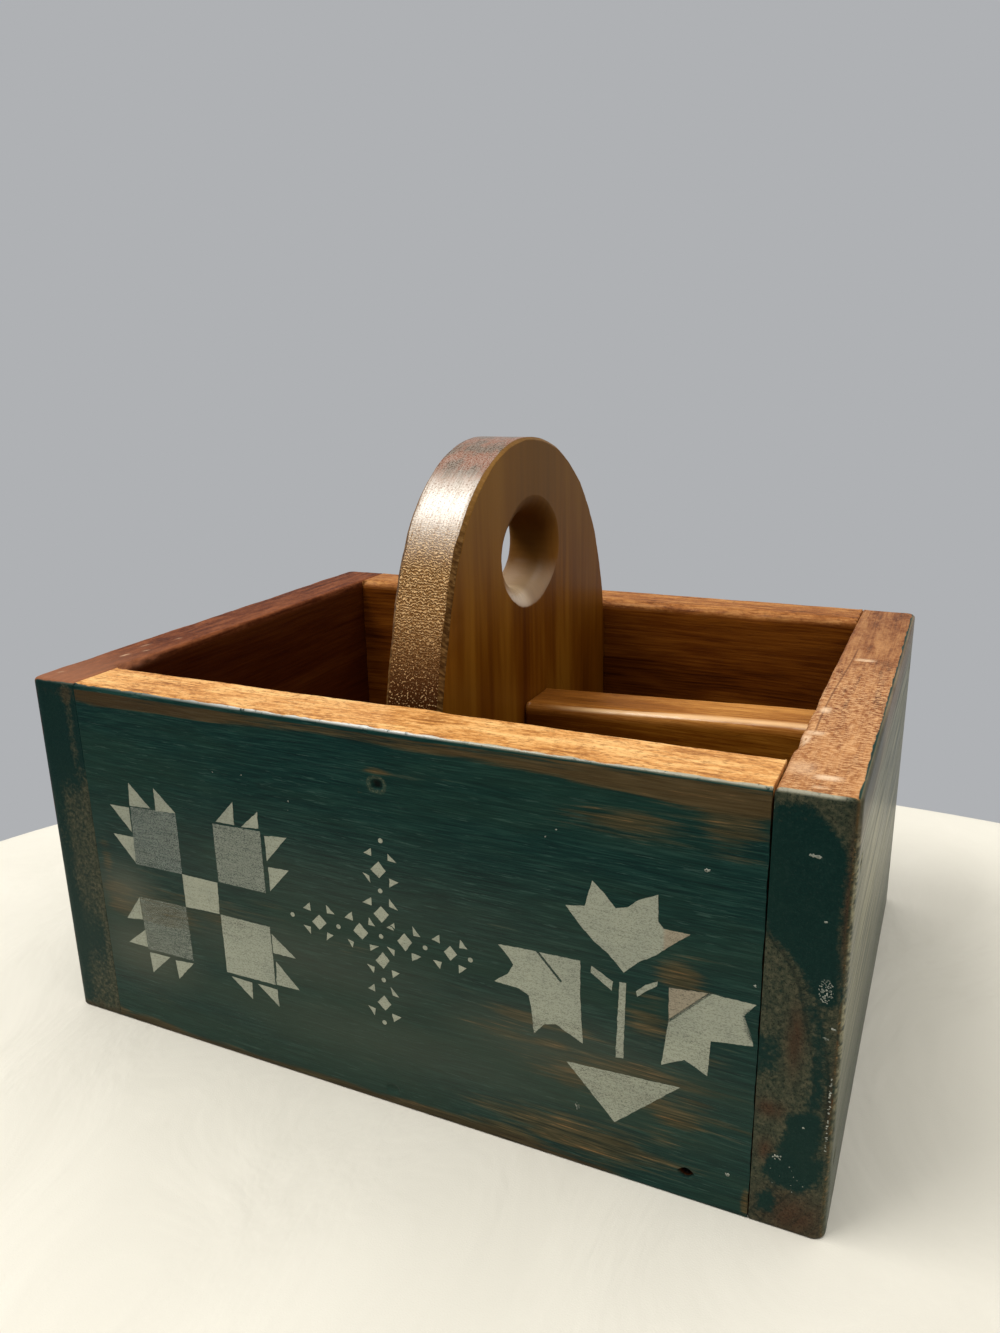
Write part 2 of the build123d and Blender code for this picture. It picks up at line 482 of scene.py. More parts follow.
# stencilled quilt blocks, mm on the front
bearsPaw = {
    "squares": [
        ((-90.5, 81.9), (-71.9, 82.9), (-72.1, 62.0), (-91.3, 61.7)),
        ((-57.5, 82.1), (-39.6, 82.8), (-39.6, 62.4), (-57.5, 62.4)),
        ((-72.1, 62.0), (-58.1, 61.9), (-58.6, 51.0), (-72.1, 50.4)),
        ((-91.7, 49.8), (-72.1, 50.4), (-71.7, 30.9), (-91.0, 30.6)),
        ((-58.2, 50.8), (-39.3, 50.9), (-39.1, 30.6), (-58.1, 30.3)),
    ],
    "squareStrengths": (0.56, 0.64, 1.0, 0.54, 0.9),
    "squareTints": (0.2, 0.45, 0.75, 0.4, 0.65),
    "claws": [
        ((-90.0, 90.2), (-90.7, 82.3), (-82.1, 82.8)), ((-79.8, 90.0), (-79.9, 82.4), (-71.9, 82.9)),
        ((-99.1, 81.3), (-91.1, 81.5), (-91.3, 73.1)), ((-99.3, 71.1), (-91.0, 71.3), (-91.4, 62.2)),
        ((-48.9, 90.7), (-49.1, 83.1), (-56.1, 83.0)), ((-39.9, 89.1), (-40.1, 83.7), (-46.5, 83.0)),
        ((-38.1, 81.6), (-30.0, 82.6), (-38.0, 73.4)), ((-37.7, 71.5), (-30.3, 71.8), (-37.8, 63.4)),
        ((-91.9, 49.5), (-91.6, 41.4), (-98.5, 40.4)), ((-90.9, 37.9), (-91.1, 31.3), (-99.2, 31.2)),
        ((-90.4, 29.4), (-81.7, 29.6), (-90.0, 21.9)), ((-79.5, 29.1), (-71.9, 29.8), (-78.8, 22.3)),
        ((-38.9, 48.6), (-30.5, 42.1), (-38.8, 42.0)), ((-38.1, 39.1), (-30.1, 31.1), (-38.7, 30.8)),
        ((-56.4, 29.1), (-48.4, 28.9), (-48.7, 22.8)), ((-46.0, 29.1), (-38.6, 29.0), (-38.5, 22.9)),
    ],
    "clawStrength": 0.92,
    "clawTint": 0.7,
}
crossBlock = {
    "squares": [
        ((1.3, 81.2), (3.5, 78.6), (1.2, 76.0), (-1.5, 78.3)),
        ((1.2, 67.1), (3.7, 64.9), (1.2, 61.8), (-1.4, 64.3)),
        ((0.9, 52.2), (3.0, 49.8), (0.9, 46.7), (-1.7, 48.9)),
        ((0.5, 37.6), (2.8, 35.1), (0.7, 32.6), (-1.9, 34.8)),
        ((-20.5, 59.4), (-18.1, 57.1), (-20.7, 54.4), (-23.2, 56.6)),
        ((-6.5, 60.0), (-3.7, 57.3), (-5.8, 54.7), (-8.7, 57.0)),
        ((8.5, 60.1), (10.9, 57.7), (8.6, 54.4), (6.1, 57.2)),
        ((23.1, 59.7), (25.2, 57.4), (23.1, 55.0), (21.1, 57.4)),
    ],
    "triangles": [
        ((-1.0, 84.9), (-1.0, 82.5), (-3.5, 83.1)), ((4.4, 84.2), (7.1, 81.9), (4.3, 82.1)),
        ((-4.3, 76.7), (-2.1, 76.1), (-1.8, 73.9)), ((4.5, 76.5), (7.5, 75.9), (4.4, 73.7)),
        ((-1.9, 69.3), (-1.9, 66.7), (-4.9, 67.1)), ((4.1, 70.1), (6.8, 67.0), (4.0, 67.6)),
        ((-3.1, 62.6), (-1.2, 60.1), (-3.4, 60.1)), ((5.3, 62.7), (5.4, 60.2), (2.7, 60.6)),
        ((-3.4, 53.7), (-0.3, 53.7), (-3.2, 51.6)), ((2.4, 54.4), (5.0, 53.8), (4.7, 51.8)),
        ((-4.7, 46.9), (-2.2, 46.5), (-2.6, 44.4)), ((3.6, 46.9), (6.2, 46.5), (3.9, 44.4)),
        ((-2.7, 40.7), (-2.5, 38.2), (-4.9, 38.7)), ((2.9, 41.1), (5.6, 38.3), (3.5, 38.5)),
        ((-5.2, 32.7), (-2.7, 32.3), (-3.2, 29.8)), ((2.9, 32.1), (6.0, 31.7), (3.4, 29.4)),
        ((-23.6, 62.8), (-23.4, 60.1), (-26.1, 60.5)), ((-17.8, 63.3), (-15.0, 60.8), (-17.6, 60.6)),
        ((-26.4, 54.7), (-23.9, 54.6), (-24.0, 52.2)), ((-18.0, 54.1), (-15.9, 53.6), (-18.5, 51.3)),
        ((-8.8, 63.1), (-8.7, 60.2), (-11.5, 60.6)), ((-10.9, 53.6), (-8.8, 53.1), (-9.4, 51.2)),
        ((11.2, 63.0), (13.7, 60.2), (11.5, 60.1)), ((10.6, 54.3), (13.7, 53.8), (10.7, 51.7)),
        ((19.8, 62.4), (19.9, 59.7), (17.3, 60.4)), ((26.3, 62.4), (28.5, 59.9), (26.0, 59.7)),
        ((17.5, 53.8), (20.3, 53.8), (19.6, 51.5)), ((25.6, 54.3), (28.0, 53.8), (25.6, 51.6)),
    ],
    "dots": [(2.3, 87.8), (1.3, 72.0), (0.7, 57.3), (0.7, 42.9), (0.1, 28.3), (-30.2, 57.3), (-13.9, 57.0),
             (15.1, 57.1), (29.3, 56.8)],
    "dotRadius": 0.75,
    "strength": 0.95,
    "tint": 0.75,
}
tulipBlock = {
    "topFlower": ((64.6, 88.6), (68.1, 85.5), (70.9, 82.2), (74.2, 83.3), (76.8, 85.8), (81.8, 88.4),
                  (82.0, 80.9), (83.4, 79.3), (90.1, 79.3), (85.3, 75.0), (81.6, 71.4), (77.7, 68.8),
                  (73.3, 64.3), (69.2, 68.7), (65.0, 71.6), (61.7, 74.9), (57.4, 80.1), (62.6, 81.0),
                  (63.5, 84.5)),
    "leftFlower": ((37.9, 63.8), (44.8, 64.3), (52.1, 64.4), (61.5, 64.7), (61.5, 53.6), (62.3, 39.7),
                   (58.2, 41.7), (54.6, 43.5), (51.2, 42.5), (48.1, 38.7), (47.4, 46.9), (46.7, 50.3),
                   (43.9, 51.7), (36.5, 52.1), (40.6, 55.4), (42.3, 58.7), (40.3, 61.4)),
    "rightFlower": ((85.2, 63.1), (95.4, 64.1), (106.9, 64.0), (104.1, 60.1), (105.5, 56.6), (106.7, 52.2),
                    (96.3, 50.6), (95.8, 40.1), (92.8, 41.7), (89.8, 43.1), (86.9, 41.5), (83.8, 39.7),
                    (84.6, 46.4), (85.4, 54.1)),
    "stem": ((72.2, 61.2), (74.0, 61.4), (73.6, 38.5), (71.5, 38.2)),
    "leftLeaf": ((64.6, 64.0), (70.5, 60.9), (70.2, 58.1), (64.4, 62.0)),
    "rightLeaf": ((76.7, 59.7), (79.1, 62.2), (82.3, 64.0), (82.1, 62.6), (79.1, 60.2), (77.0, 58.2)),
    "ground": ((57.7, 32.6), (88.9, 34.3), (71.5, 17.6)),
    "strength": 0.88,
    "tint": 0.7,
}

# where the paint is rubbed thin on the front: (x, z, reach in x, reach in z, how much)
rubs = [
    (-101, 50.5, 8, 4.0, 0.7), (-100, 44.5, 7, 3.0, 0.8), (-82, 46, 20, 5.5, 0.62), (-56, 49, 16, 5.0, 0.5),
    (-42, 58, 13, 1.6, 0.45), (-104, 60, 3, 12, 0.45), (-88, 12, 14, 3.0, 0.3), (-110, 3, 8, 3, 0.5),
    (-30, 37, 24, 3.0, 0.25), (-8, 32, 14, 2.6, 0.25), (24, 41, 20, 3.2, 0.4), (40, 70, 12, 3.0, 0.25),
    (43, 42, 14, 3.0, 0.6), (53, 37, 9, 2.6, 0.6), (59, 43.5, 9, 1.5, 0.45), (78, 36, 12, 2.6, 0.75),
    (59, 26, 7, 2.2, 0.6), (44, 22, 14, 2.6, 0.3), (93, 31, 9, 2.2, 0.75), (88, 23.5, 9, 2.2, 0.9),
    (40, 3.5, 16, 3.0, 0.6), (56, 7, 16, 3.4, 0.62), (72, 11.5, 14, 3.0, 0.66), (84, 16, 8, 2.0, 0.4),
    (88, 67, 7, 5.0, 0.75), (80, 52, 9, 9.0, 0.5), (98, 45, 9, 5.0, 0.35), (68, 62, 10, 5.0, 0.3),
    (74, 106, 26, 5.0, 0.5), (99, 109, 11, 7.0, 0.62), (30, 99, 20, 3.0, 0.15), (-60, 116.6, 44, 1.5, 0.4),
    (14, 116.6, 36, 1.4, 0.4), (88, 116.4, 24, 2.0, 0.7), (-96, 116.8, 10, 2.4, 0.5),
    (-92, 1.0, 12, 2.4, 0.7), (-60, 0.5, 24, 1.6, 0.4), (-20, 1.0, 30, 1.8, 0.5), (20, 1.5, 24, 2.4, 0.6),
    (58, 0.8, 16, 1.0, 0.6), (107.2, 4.5, 1.3, 4.5, 0.9), (2.0, 108.6, 3.8, 0.7, 0.75),
    (-3.4, 101.0, 0.9, 3.0, 0.6), (74, 30, 34, 13, 0.5), (62, 10, 40, 8, 0.56), (40, 38, 20, 9, 0.4),
    (92, 70, 6, 7, 0.3), (-60, 52, 60, 9, 0.36), (-90, 35, 20, 8, 0.25), (92, 111, 14, 6, 0.28),
    (60, 108, 40, 6, 0.15), (-20, 30, 40, 8, 0.15),
]
# grey haze in the varnish: (x, z, reach in x, reach in z, how much)
hazes = [
    (-97, 51, 13, 10, 0.54), (-20, 68, 90, 15, 0.15), (-92, 30, 20, 12, 0.45), (-30, 44, 60, 12, 0.25),
    (55, 36, 40, 14, 0.28), (10, 22, 70, 12, 0.2),
]

# the end grain at the front of the right end board: how much paint each patch keeps, and its outline
paintPatches = [
    (0.62, ((107.0, 118.0), (116.3, 119.2), (119.7, 115.9), (123.3, 110.5), (124.5, 105.2), (124.1, 96.3),
            (123.8, 86.0), (125.0, 77.1), (125.0, 68.8), (122.0, 67.9), (119.5, 71.0), (117.2, 75.8),
            (114.7, 79.2), (112.0, 81.8), (108.9, 85.1), (107.0, 90.1))),
    (0.6, ((115.7, 34.7), (122.4, 37.4), (123.6, 36.3), (123.8, 28.7), (122.1, 23.9), (125.0, 24.2),
           (124.3, 17.9), (120.3, 13.3), (114.8, 13.5), (111.2, 16.0), (111.9, 20.9), (114.3, 22.5),
           (115.0, 26.6), (116.3, 30.1))),
    (0.6, ((110.4, 8.6), (112.5, 11.0), (114.2, 8.5), (113.4, 5.0), (110.3, 4.6))),
    (0.35, ((106.0, 56.3), (112.3, 57.2), (113.5, 51.8), (112.9, 45.9), (106.0, 44.9))),
    (0.36, ((116.8, 69.6), (119.8, 62.8), (120.8, 52.7), (120.5, 38.2), (123.5, 38.5), (124.3, 46.7),
            (123.6, 57.0), (122.6, 63.0), (121.2, 67.4))),
]
# rusty brown where it is bare: (x, z, reach in x, reach in z, how much)
rustPatches = [
    (111.5, 35.5, 4.0, 2.6, 1.0), (119.0, 5.0, 9.0, 7.5, 1.0), (126.3, 42.0, 1.2, 12.0, 1.0),
    (125.8, 96.0, 1.0, 18.0, 1.0), (111.0, 23.0, 2.0, 3.5, 1.0), (116.5, 57.0, 2.0, 9.0, 1.0),
]
# how worn each end board's front strip is all over, and over how many mm a patch's paint ends
stripWear = {"left": 0.04, "right": 0.64, "patchEdge": 3.4}


def soften(x, z, blots):
    # the strongest of several soft-edged blots at each point
    level = np.zeros_like(x)
    for cx, cz, reachX, reachZ, amount in blots:
        blot = amount * np.exp(-((x - cx) / reachX) ** 2 - ((z - cz) / reachZ) ** 2)
        level = np.maximum(level, blot)
    return level


def depthInside(x, z, outline):
    # how far inside an outline points lie, below 0 outside
    inside, nearest = np.zeros(len(x), bool), np.full(len(x), 1e9)
    for (ax, az), (bx, bz) in zip(outline, outline[1:] + outline[:1]):
        crosses = (az > z) != (bz > z)
        with np.errstate(divide="ignore", invalid="ignore"):
            inside ^= crosses & (x < (bx - ax) * (z - az) / (bz - az) + ax)
        t = np.clip(((x - ax) * (bx - ax) + (z - az) * (bz - az)) / ((bx - ax) ** 2 + (bz - az) ** 2), 0, 1)
        nearest = np.minimum(nearest, np.hypot(x - ax - t * (bx - ax), z - az - t * (bz - az)))
    return np.where(inside, nearest, -nearest)


def leftStrip(x, z):
    # wear on the left end board's front strip, and how rusty the bare wood is there
    worn = stripWear["left"] + 0.46 * np.clip((94 - z) / 14, 0, 1) * np.clip((124 - x) / 6, 0.5, 1)
    worn += 0.4 * np.exp(-((x - 111.6) / 2.2) ** 2) * np.clip((z - 86) / 10, 0, 1)      # near the top
    worn += 0.6 * np.clip((x - 125.4) / 1.2, 0, 1)      # the outer edge
    worn += 0.3 * np.clip((111.5 - x) / 2.5, 0, 1) * np.clip((96 - z) / 10, 0, 1)       # beside the joint
    worn -= 0.25 * np.exp(-((z - 30) / 10.0) ** 2)      # low down, where more paint is left
    return worn, 0.7 * np.clip((x - 125.0) / 1.2, 0, 1)


def rightStrip(x, z):
    # the same on the right, where patches of paint are left
    worn = np.full_like(x, stripWear["right"])
    for cover, outline in paintPatches:
        kept = np.clip(0.5 + depthInside(x, z, outline) / stripWear["patchEdge"], 0, 1)
        worn = np.minimum(worn, stripWear["right"] - cover * kept)
    worn += 0.10 * np.exp(-((x - 113) / 3.0) ** 2 - ((z - 41) / 6.0) ** 2)
    return worn, soften(x, z, rustPatches)


# painted walls
# the pale edge tones are worn paint with a painted highlight, the sheen tones a painted reflection, the milky
# tone faded paint with a painted reflection of the cloth, the hair tone painted glints and the hole tone
# painted shade
paints = {
    "dark": tone(2, 31, 32), "middle": tone(12, 50, 46), "light": tone(34, 72, 64), "hair": tone(76, 108, 98),
    "green": tone(38, 64, 50), "edge": tone(226, 226, 216), "edgeWornSheen": tone(176, 170, 144),
    "fadeAndReflection": tone(66, 76, 64), "haze": tone(108, 108, 92), "belt": tone(100, 72, 38),
    "foot": tone(62, 42, 22),
    "brownDark": tone(44, 44, 28), "brown": tone(76, 68, 44), "brownLight": tone(104, 90, 60),
    "gold": tone(112, 84, 46), "goldLight": tone(168, 124, 76), "stripTeal": tone(4, 39, 35),
    "sheen": tone(176, 170, 136), "sheenDark": tone(58, 64, 46), "sheenBrown": tone(126, 92, 60),
    "crust": tone(118, 120, 92), "hole": tone(8, 6, 5),
}
endTones = {
    "dark": tone(34, 46, 36), "middle": tone(72, 74, 57), "light": tone(102, 98, 76),
    "rust": tone(80, 50, 32), "pit": tone(12, 18, 12), "crumb": tone(100, 98, 74), "ladder": tone(12, 24, 20),
}
insideTones = {
    "dark": tone(58, 22, 2), "middle": tone(106, 54, 8), "light": tone(142, 82, 22), "red": tone(58, 20, 6),
}
rimTones = {"tick": tone(222, 174, 124), "pale": tone(168, 115, 84), "scuff": tone(236, 202, 164)}


def bareRim(finish, place, grain, spec):
    # the rim's varnished wood: mottled, with dark pores, pale flecks and scuffs, and painted light towards
    # the front
    x, y, z = finish.axes(place)
    drawn = grain["drawn"]
    rimDark, rimMiddle, rimLight = spec["tones"]
    amount = (grain["fibre"].over(0.3, 0.7) * 0.4 + drawn(0.3, 0.08).over(0.3, 0.7) * 0.5
              + grain["cloud"].over(0.3, 0.7) * 0.25 - grain["late"] * 0.12)
    rim = finish.ramp(amount, [(0.0, rimDark), (0.42, rimMiddle), (1.0, rimLight)])
    mottle = drawn(1.0, 0.42, 4.0, 0.75)
    rim = finish.blend((1 - mottle.over(0.36, 0.52)) * spec["pores"], rim, rimDark)
    rim = finish.blend(mottle.over(0.54, 0.66) * 0.6, rim, rimLight)
    if spec.get("ticks"):
        # short pale ticks across the rim, fewer towards the back
        fine = finish.noise(finish.scaled(place, (0.55, 1.9, 0.8)), 1.0, 3.0, 0.7)
        zone = 1 - y.over(-15.0, 35.0, 0.0, 0.75)
        rim = finish.blend(fine.over(0.49, 0.56) * zone * spec["ticks"], rim, rimTones["tick"])
        rim = finish.blend((1 - fine.over(0.34, 0.46)) * x.over(110.0, 112.5, 0.05, 0.24), rim, rimDark)
        # darker towards the back: painted shade
        rim = finish.blend(y.over(-10.0, 60.0) * 0.25, rim, rimDark)
        crack = (x - 111.6 - (y * 0.045).wave() * 0.9).size()
        crack = (1 - crack.over(0.08, 0.4)) * (y + 10.0).size().over(46.0, 40.0)
        rim = finish.blend(crack * 0.6, rim, rimDark)
        # lighter towards the front: painted light
        rim = finish.blend((1 - y.over(-90.0, -30.0)) * 0.3, rim, rimLight)
    # paler towards the front: painted light
    if spec.get("paintedFrontLight"):
        rim = finish.blend((1 - y.over(-92.0, -40.0)) * spec["paintedFrontLight"], rim, rimTones["pale"])
    scuff = finish.attribute("scuff")
    scuff = scuff * finish.noise(finish.scaled(place, (1.0, 1.6, 1.0)), 0.9, 3.0, 0.7).over(0.3, 0.46)
    return finish.blend(scuff, rim, rimTones["scuff"])


def endGrain(finish, place, grain, grit, spec):
    # the bare end of a board: gritty, with growth rings, crossed by ticks in the ladder ring
    speck = finish.noise(place, 2.2, 2.0, 0.6)
    rings = grain["late"] * spec.get("rings", 0.0)
    wood = finish.ramp(grit, [(0.34, endTones["dark"]), (0.5, endTones["middle"]), (0.66, endTones["light"])])
    wood = finish.blend(finish.attribute("rust") * 0.85, wood, endTones["rust"])
    wood = finish.blend(rings * 0.5, wood, endTones["dark"])
    wood = finish.blend(speck.over(0.56, 0.66) * 0.7, wood, endTones["pit"])
    wood = finish.blend((1 - speck.over(0.3, 0.38)) * 0.4, wood, endTones["crumb"])
    if spec.get("ladder"):
        arc, radius = grain["turn"] * spec["ladder"], grain["radius"]
        rungs = finish.noise(finish.vector(arc, radius * 0.25, 0.0), 1.1, 2.0, 0.6).over(0.5, 0.58)
        apart = (radius - spec["ladder"]).size()
        rails = 1 - (apart - 1.7).size().over(0.15, 0.5)
        ladder = (rungs * apart.over(2.0, 1.4) * 0.6).most(rails * 0.5)
        wood = finish.blend(ladder, wood, endTones["ladder"])
    return wood


def insideWood(finish, grain, spec):
    # varnished wood, streaky along the grain
    amount = grain["fibre"].over(0.3, 0.7) * 0.5 + grain["cloud"].over(0.3, 0.7) * 0.6
    amount = amount - grain["late"] * 0.12
    tones = insideTones
    wood = finish.ramp(amount, [(0.0, tones["dark"]), (0.5, tones["middle"]), (1.0, tones["light"])])
    wood = finish.blend(spec["redness"], wood, tones["red"])
    return finish.blend(grain["pore"] * 0.2, wood, tones["dark"])


def topEdgeWearAndSheen(finish, place, spec):
    # how far the paint's top edge is worn pale and painted with a highlight, and its tone there
    x, y, z = finish.axes(place)
    worn = (1 - (rimHeight - z).over(0.1, 1.0)) * finish.noise(place, 0.5, 3.0, 0.6).over(0.25, 0.45)
    if spec["axis"] == "Y":
        worn = worn * (y.size() - 90.5).over(0.0, 1.5) * (1 - (x.size() - 121.0).over(0.0, 4.0))
        return worn, paints["edgeWornSheen"]
    # it starts dark at the left, and its painted highlight is whitest in front of the handle
    worn = worn * x.over(-100.0, -25.0, 0.08, 1.0)
    return worn, finish.blend(x.over(8.0, 34.0), paints["edge"], paints["edgeWornSheen"])


def paintedSideSheen(finish, place, sheen, paint):
    # seen along the face, the varnish's reflection is painted in: pale streaks on a darker olive, browner
    # high up and dark near the front top
    x, y, z = finish.axes(place)
    streaks = finish.noise(finish.scaled(place, (1.0, 0.013, 0.66)), 1.0, 4.0, 0.65)
    pale = streaks.over(0.36, 0.64) * (0.16 + z.over(10.0, 70.0) * 0.62)
    paint = finish.blend(sheen * 0.6, paint, paints["sheenDark"])
    paint = finish.blend(sheen * pale, paint, paints["sheen"])
    paint = finish.blend(sheen * z.over(104.0, 119.0) * 0.6, paint, paints["sheenBrown"])
    nearFront = 1 - y.over(-50.0, -20.0)
    return finish.blend(sheen * z.over(108.0, 117.0) * nearFront * 0.8, paint, paints["sheenDark"])


def paintedBoard(name, spec):
    # bare varnished wood on the rim and inside, dark paint outside, worn at the edges
    finish = Finish(name)
    place = finish.place()
    x, y, z = finish.axes(place)
    ringWidth = spec.get("ringWidth", 3.2)
    grain = woodGrain(finish, place, spec["axis"], spec["pith"], spec["seed"] * boardSeed, ringWidth)
    drawn = grain["drawn"]
    onRim = z.over(117.2, 119.8)
    bare = finish.blend(onRim, insideWood(finish, grain, spec), bareRim(finish, place, grain, spec))

    # paint lies on what faces out, and laps a little over the rim's edge
    depthIn = (halfLength - x.size()).least(halfDepth - y.size())
    toTop = rimHeight - z
    ragged = finish.noise(finish.added(place, (spec["seed"] * 9.0, 5.0, 0.0)), 0.16, 4.0, 0.5) - 0.5
    painted = (spec["lap"] + ragged * 1.5 - depthIn).over(-0.15, 0.15)
    fine, broad, hair = drawn(1.1, 0.045, 4.0, 0.7), drawn(0.22, 0.02, 3.0, 0.55), drawn(2.6, 0.09, 2.0)
    rub = finish.attribute("rub")
    patchy = (broad - 0.5) * 0.9 + (fine - 0.5) * 0.8
    brown = finish.ramp(fine * 0.5 + hair * 0.5, [(0.36, paints["brownDark"]), (0.5, paints["brown"]),
                                                  (0.64, paints["brownLight"])])
    golden = ((fine - 0.5) * 3.0 + rub * 0.75 - 0.5).over(0.1, 0.5) * x.over(-40.0, 30.0, 0.35, 1.0)
    gold = finish.ramp(hair, [(0.4, paints["gold"]), (0.62, paints["goldLight"])])
    brown = finish.blend(golden, brown, gold)
    strip, corner = 0.0, 0.0
    if spec["axis"] == "Y":
        strip = (y.size() - 92.4).over(0.0, 0.5)
        grit = finish.noise(place, 0.8, 5.0, 0.75)
        patchy = patchy * (1 - strip) + (grit - 0.5) * strip * 0.7
        brown = finish.blend(strip, brown, endGrain(finish, place, grain, grit, spec))
        corner = (x.size() - 125.2).over(0.0, 1.2) * (y.size() - 91.8).over(0.0, 1.2) * -0.12
    # a brown belt just under the rim, narrower before the handle, and a dark foot
    narrow = (1 - (x + 8.0).size().over(24.0, 70.0)) * 2.4 - x.over(30.0, 100.0) * 2.0
    belowBelt = (toTop + (broad - 0.5) * 9.0 + narrow).over(4.4, 8.0)
    belt = (toTop + x.over(0.0, 60.0) * 0.8).over(1.4, 2.2) * (1 - belowBelt)
    foot = (1 - (z + (broad - 0.5) * 8.0).over(0.5, 4.5)) * (1 - x.over(66.0, 84.0))
    brown = finish.blend(belt * (1 - strip) * 0.5, brown, paints["belt"])
    brown = finish.blend(belt * (1 - x.over(-80.0, -20.0)) * 0.5, brown, paints["foot"])
    brown = finish.blend(foot * 0.6, brown, paints["foot"])
    worn = (rub * 0.9 + belt * spec["belt"] + foot * 0.3 + corner + patchy).over(0.22, 0.56)

    coat = finish.ramp(fine * 0.5 + hair * 0.5, [(0.34, paints["dark"]), (0.5, paints["middle"]),
                                                 (0.66, paints["light"])])
    # sparse pale hairlines along the grain: painted glints
    coat = finish.blend(drawn(1.5, 0.10, 3.0, 0.65).over(0.60, 0.70) * 0.4, coat, paints["hair"])
    coat = finish.blend(grain["cloud"].over(0.4, 0.7) * 0.4, coat, paints["green"])
    if spec["axis"] == "Y":
        coat = finish.blend(strip * 0.75, coat, paints["stripTeal"])
    # paler and milky towards the bottom and the left: faded paint with a painted reflection of the cloth
    fadeAndReflection = (1 - z.over(22.0, 104.0)) * (0.35 + grain["cloud"] * 0.5) * (1 - x.over(25.0, 85.0) * 0.65)
    coat = finish.blend(fadeAndReflection * spec["fadeAndReflection"], coat, paints["fadeAndReflection"])
    paint = finish.blend(worn * 0.85, coat, brown)
    paint = finish.blend(finish.attribute("haze"), paint, paints["haze"])
    # the top edge: worn paint and a painted highlight
    topEdge, edgeTone = topEdgeWearAndSheen(finish, place, spec)
    paint = finish.blend(topEdge * spec["edgeWearAndSheen"], paint, edgeTone)
    # the right outer face gets a painted reflection
    sheen = 0.0
    if spec.get("sheen"):
        sheen = (x - 126.0).over(0.0, 0.6) * (1 - strip)
        paint = paintedSideSheen(finish, place, sheen, paint)
    colour = finish.blend(painted, bare, paint)

    flake, pit = finish.attribute("flake"), finish.attribute("pit")
    crust = finish.noise(place, 1.6, 3.0, 0.75).over(0.5, 0.62)
    colour = finish.blend(flake * (crust * 0.5 + 0.15), colour, paints["crust"])
    # open nail pockets are painted near black: painted shade in the holes
    colour = finish.blend(pit.over(0.1, 0.6), colour, paints["hole"])

    height = fine * 0.5 + grain["thread"] * 0.3 - grain["pore"] * 0.3 - worn * painted * 0.3
    rough = 0.5 + (grain["cloud"] - 0.5) * 0.14 + pit * 0.3 - sheen * 0.15
    gloss = painted * (0.03 + fine.over(0.5, 0.7) * 0.10 + topEdge * 0.7)
    gloss = gloss + (1 - painted) * onRim * spec["rimGloss"]
    gloss = (gloss + sheen * 0.03) * (1 - pit)
    normal = finish.bump(height, 0.12)
    return finish.surface({"Base Color": colour, "Roughness": rough, "Coat Weight": gloss, "Normal": normal},
                          varnish)


# a rim's three tones, from dark to light
honey = (tone(132, 80, 34), tone(210, 147, 80), tone(246, 197, 128))
russet = (tone(60, 25, 9), tone(100, 50, 24), tone(138, 80, 46))
chestnut = (tone(84, 42, 18), tone(138, 81, 40), tone(192, 136, 84))
amber = (tone(86, 44, 14), tone(152, 92, 42), tone(196, 138, 78))

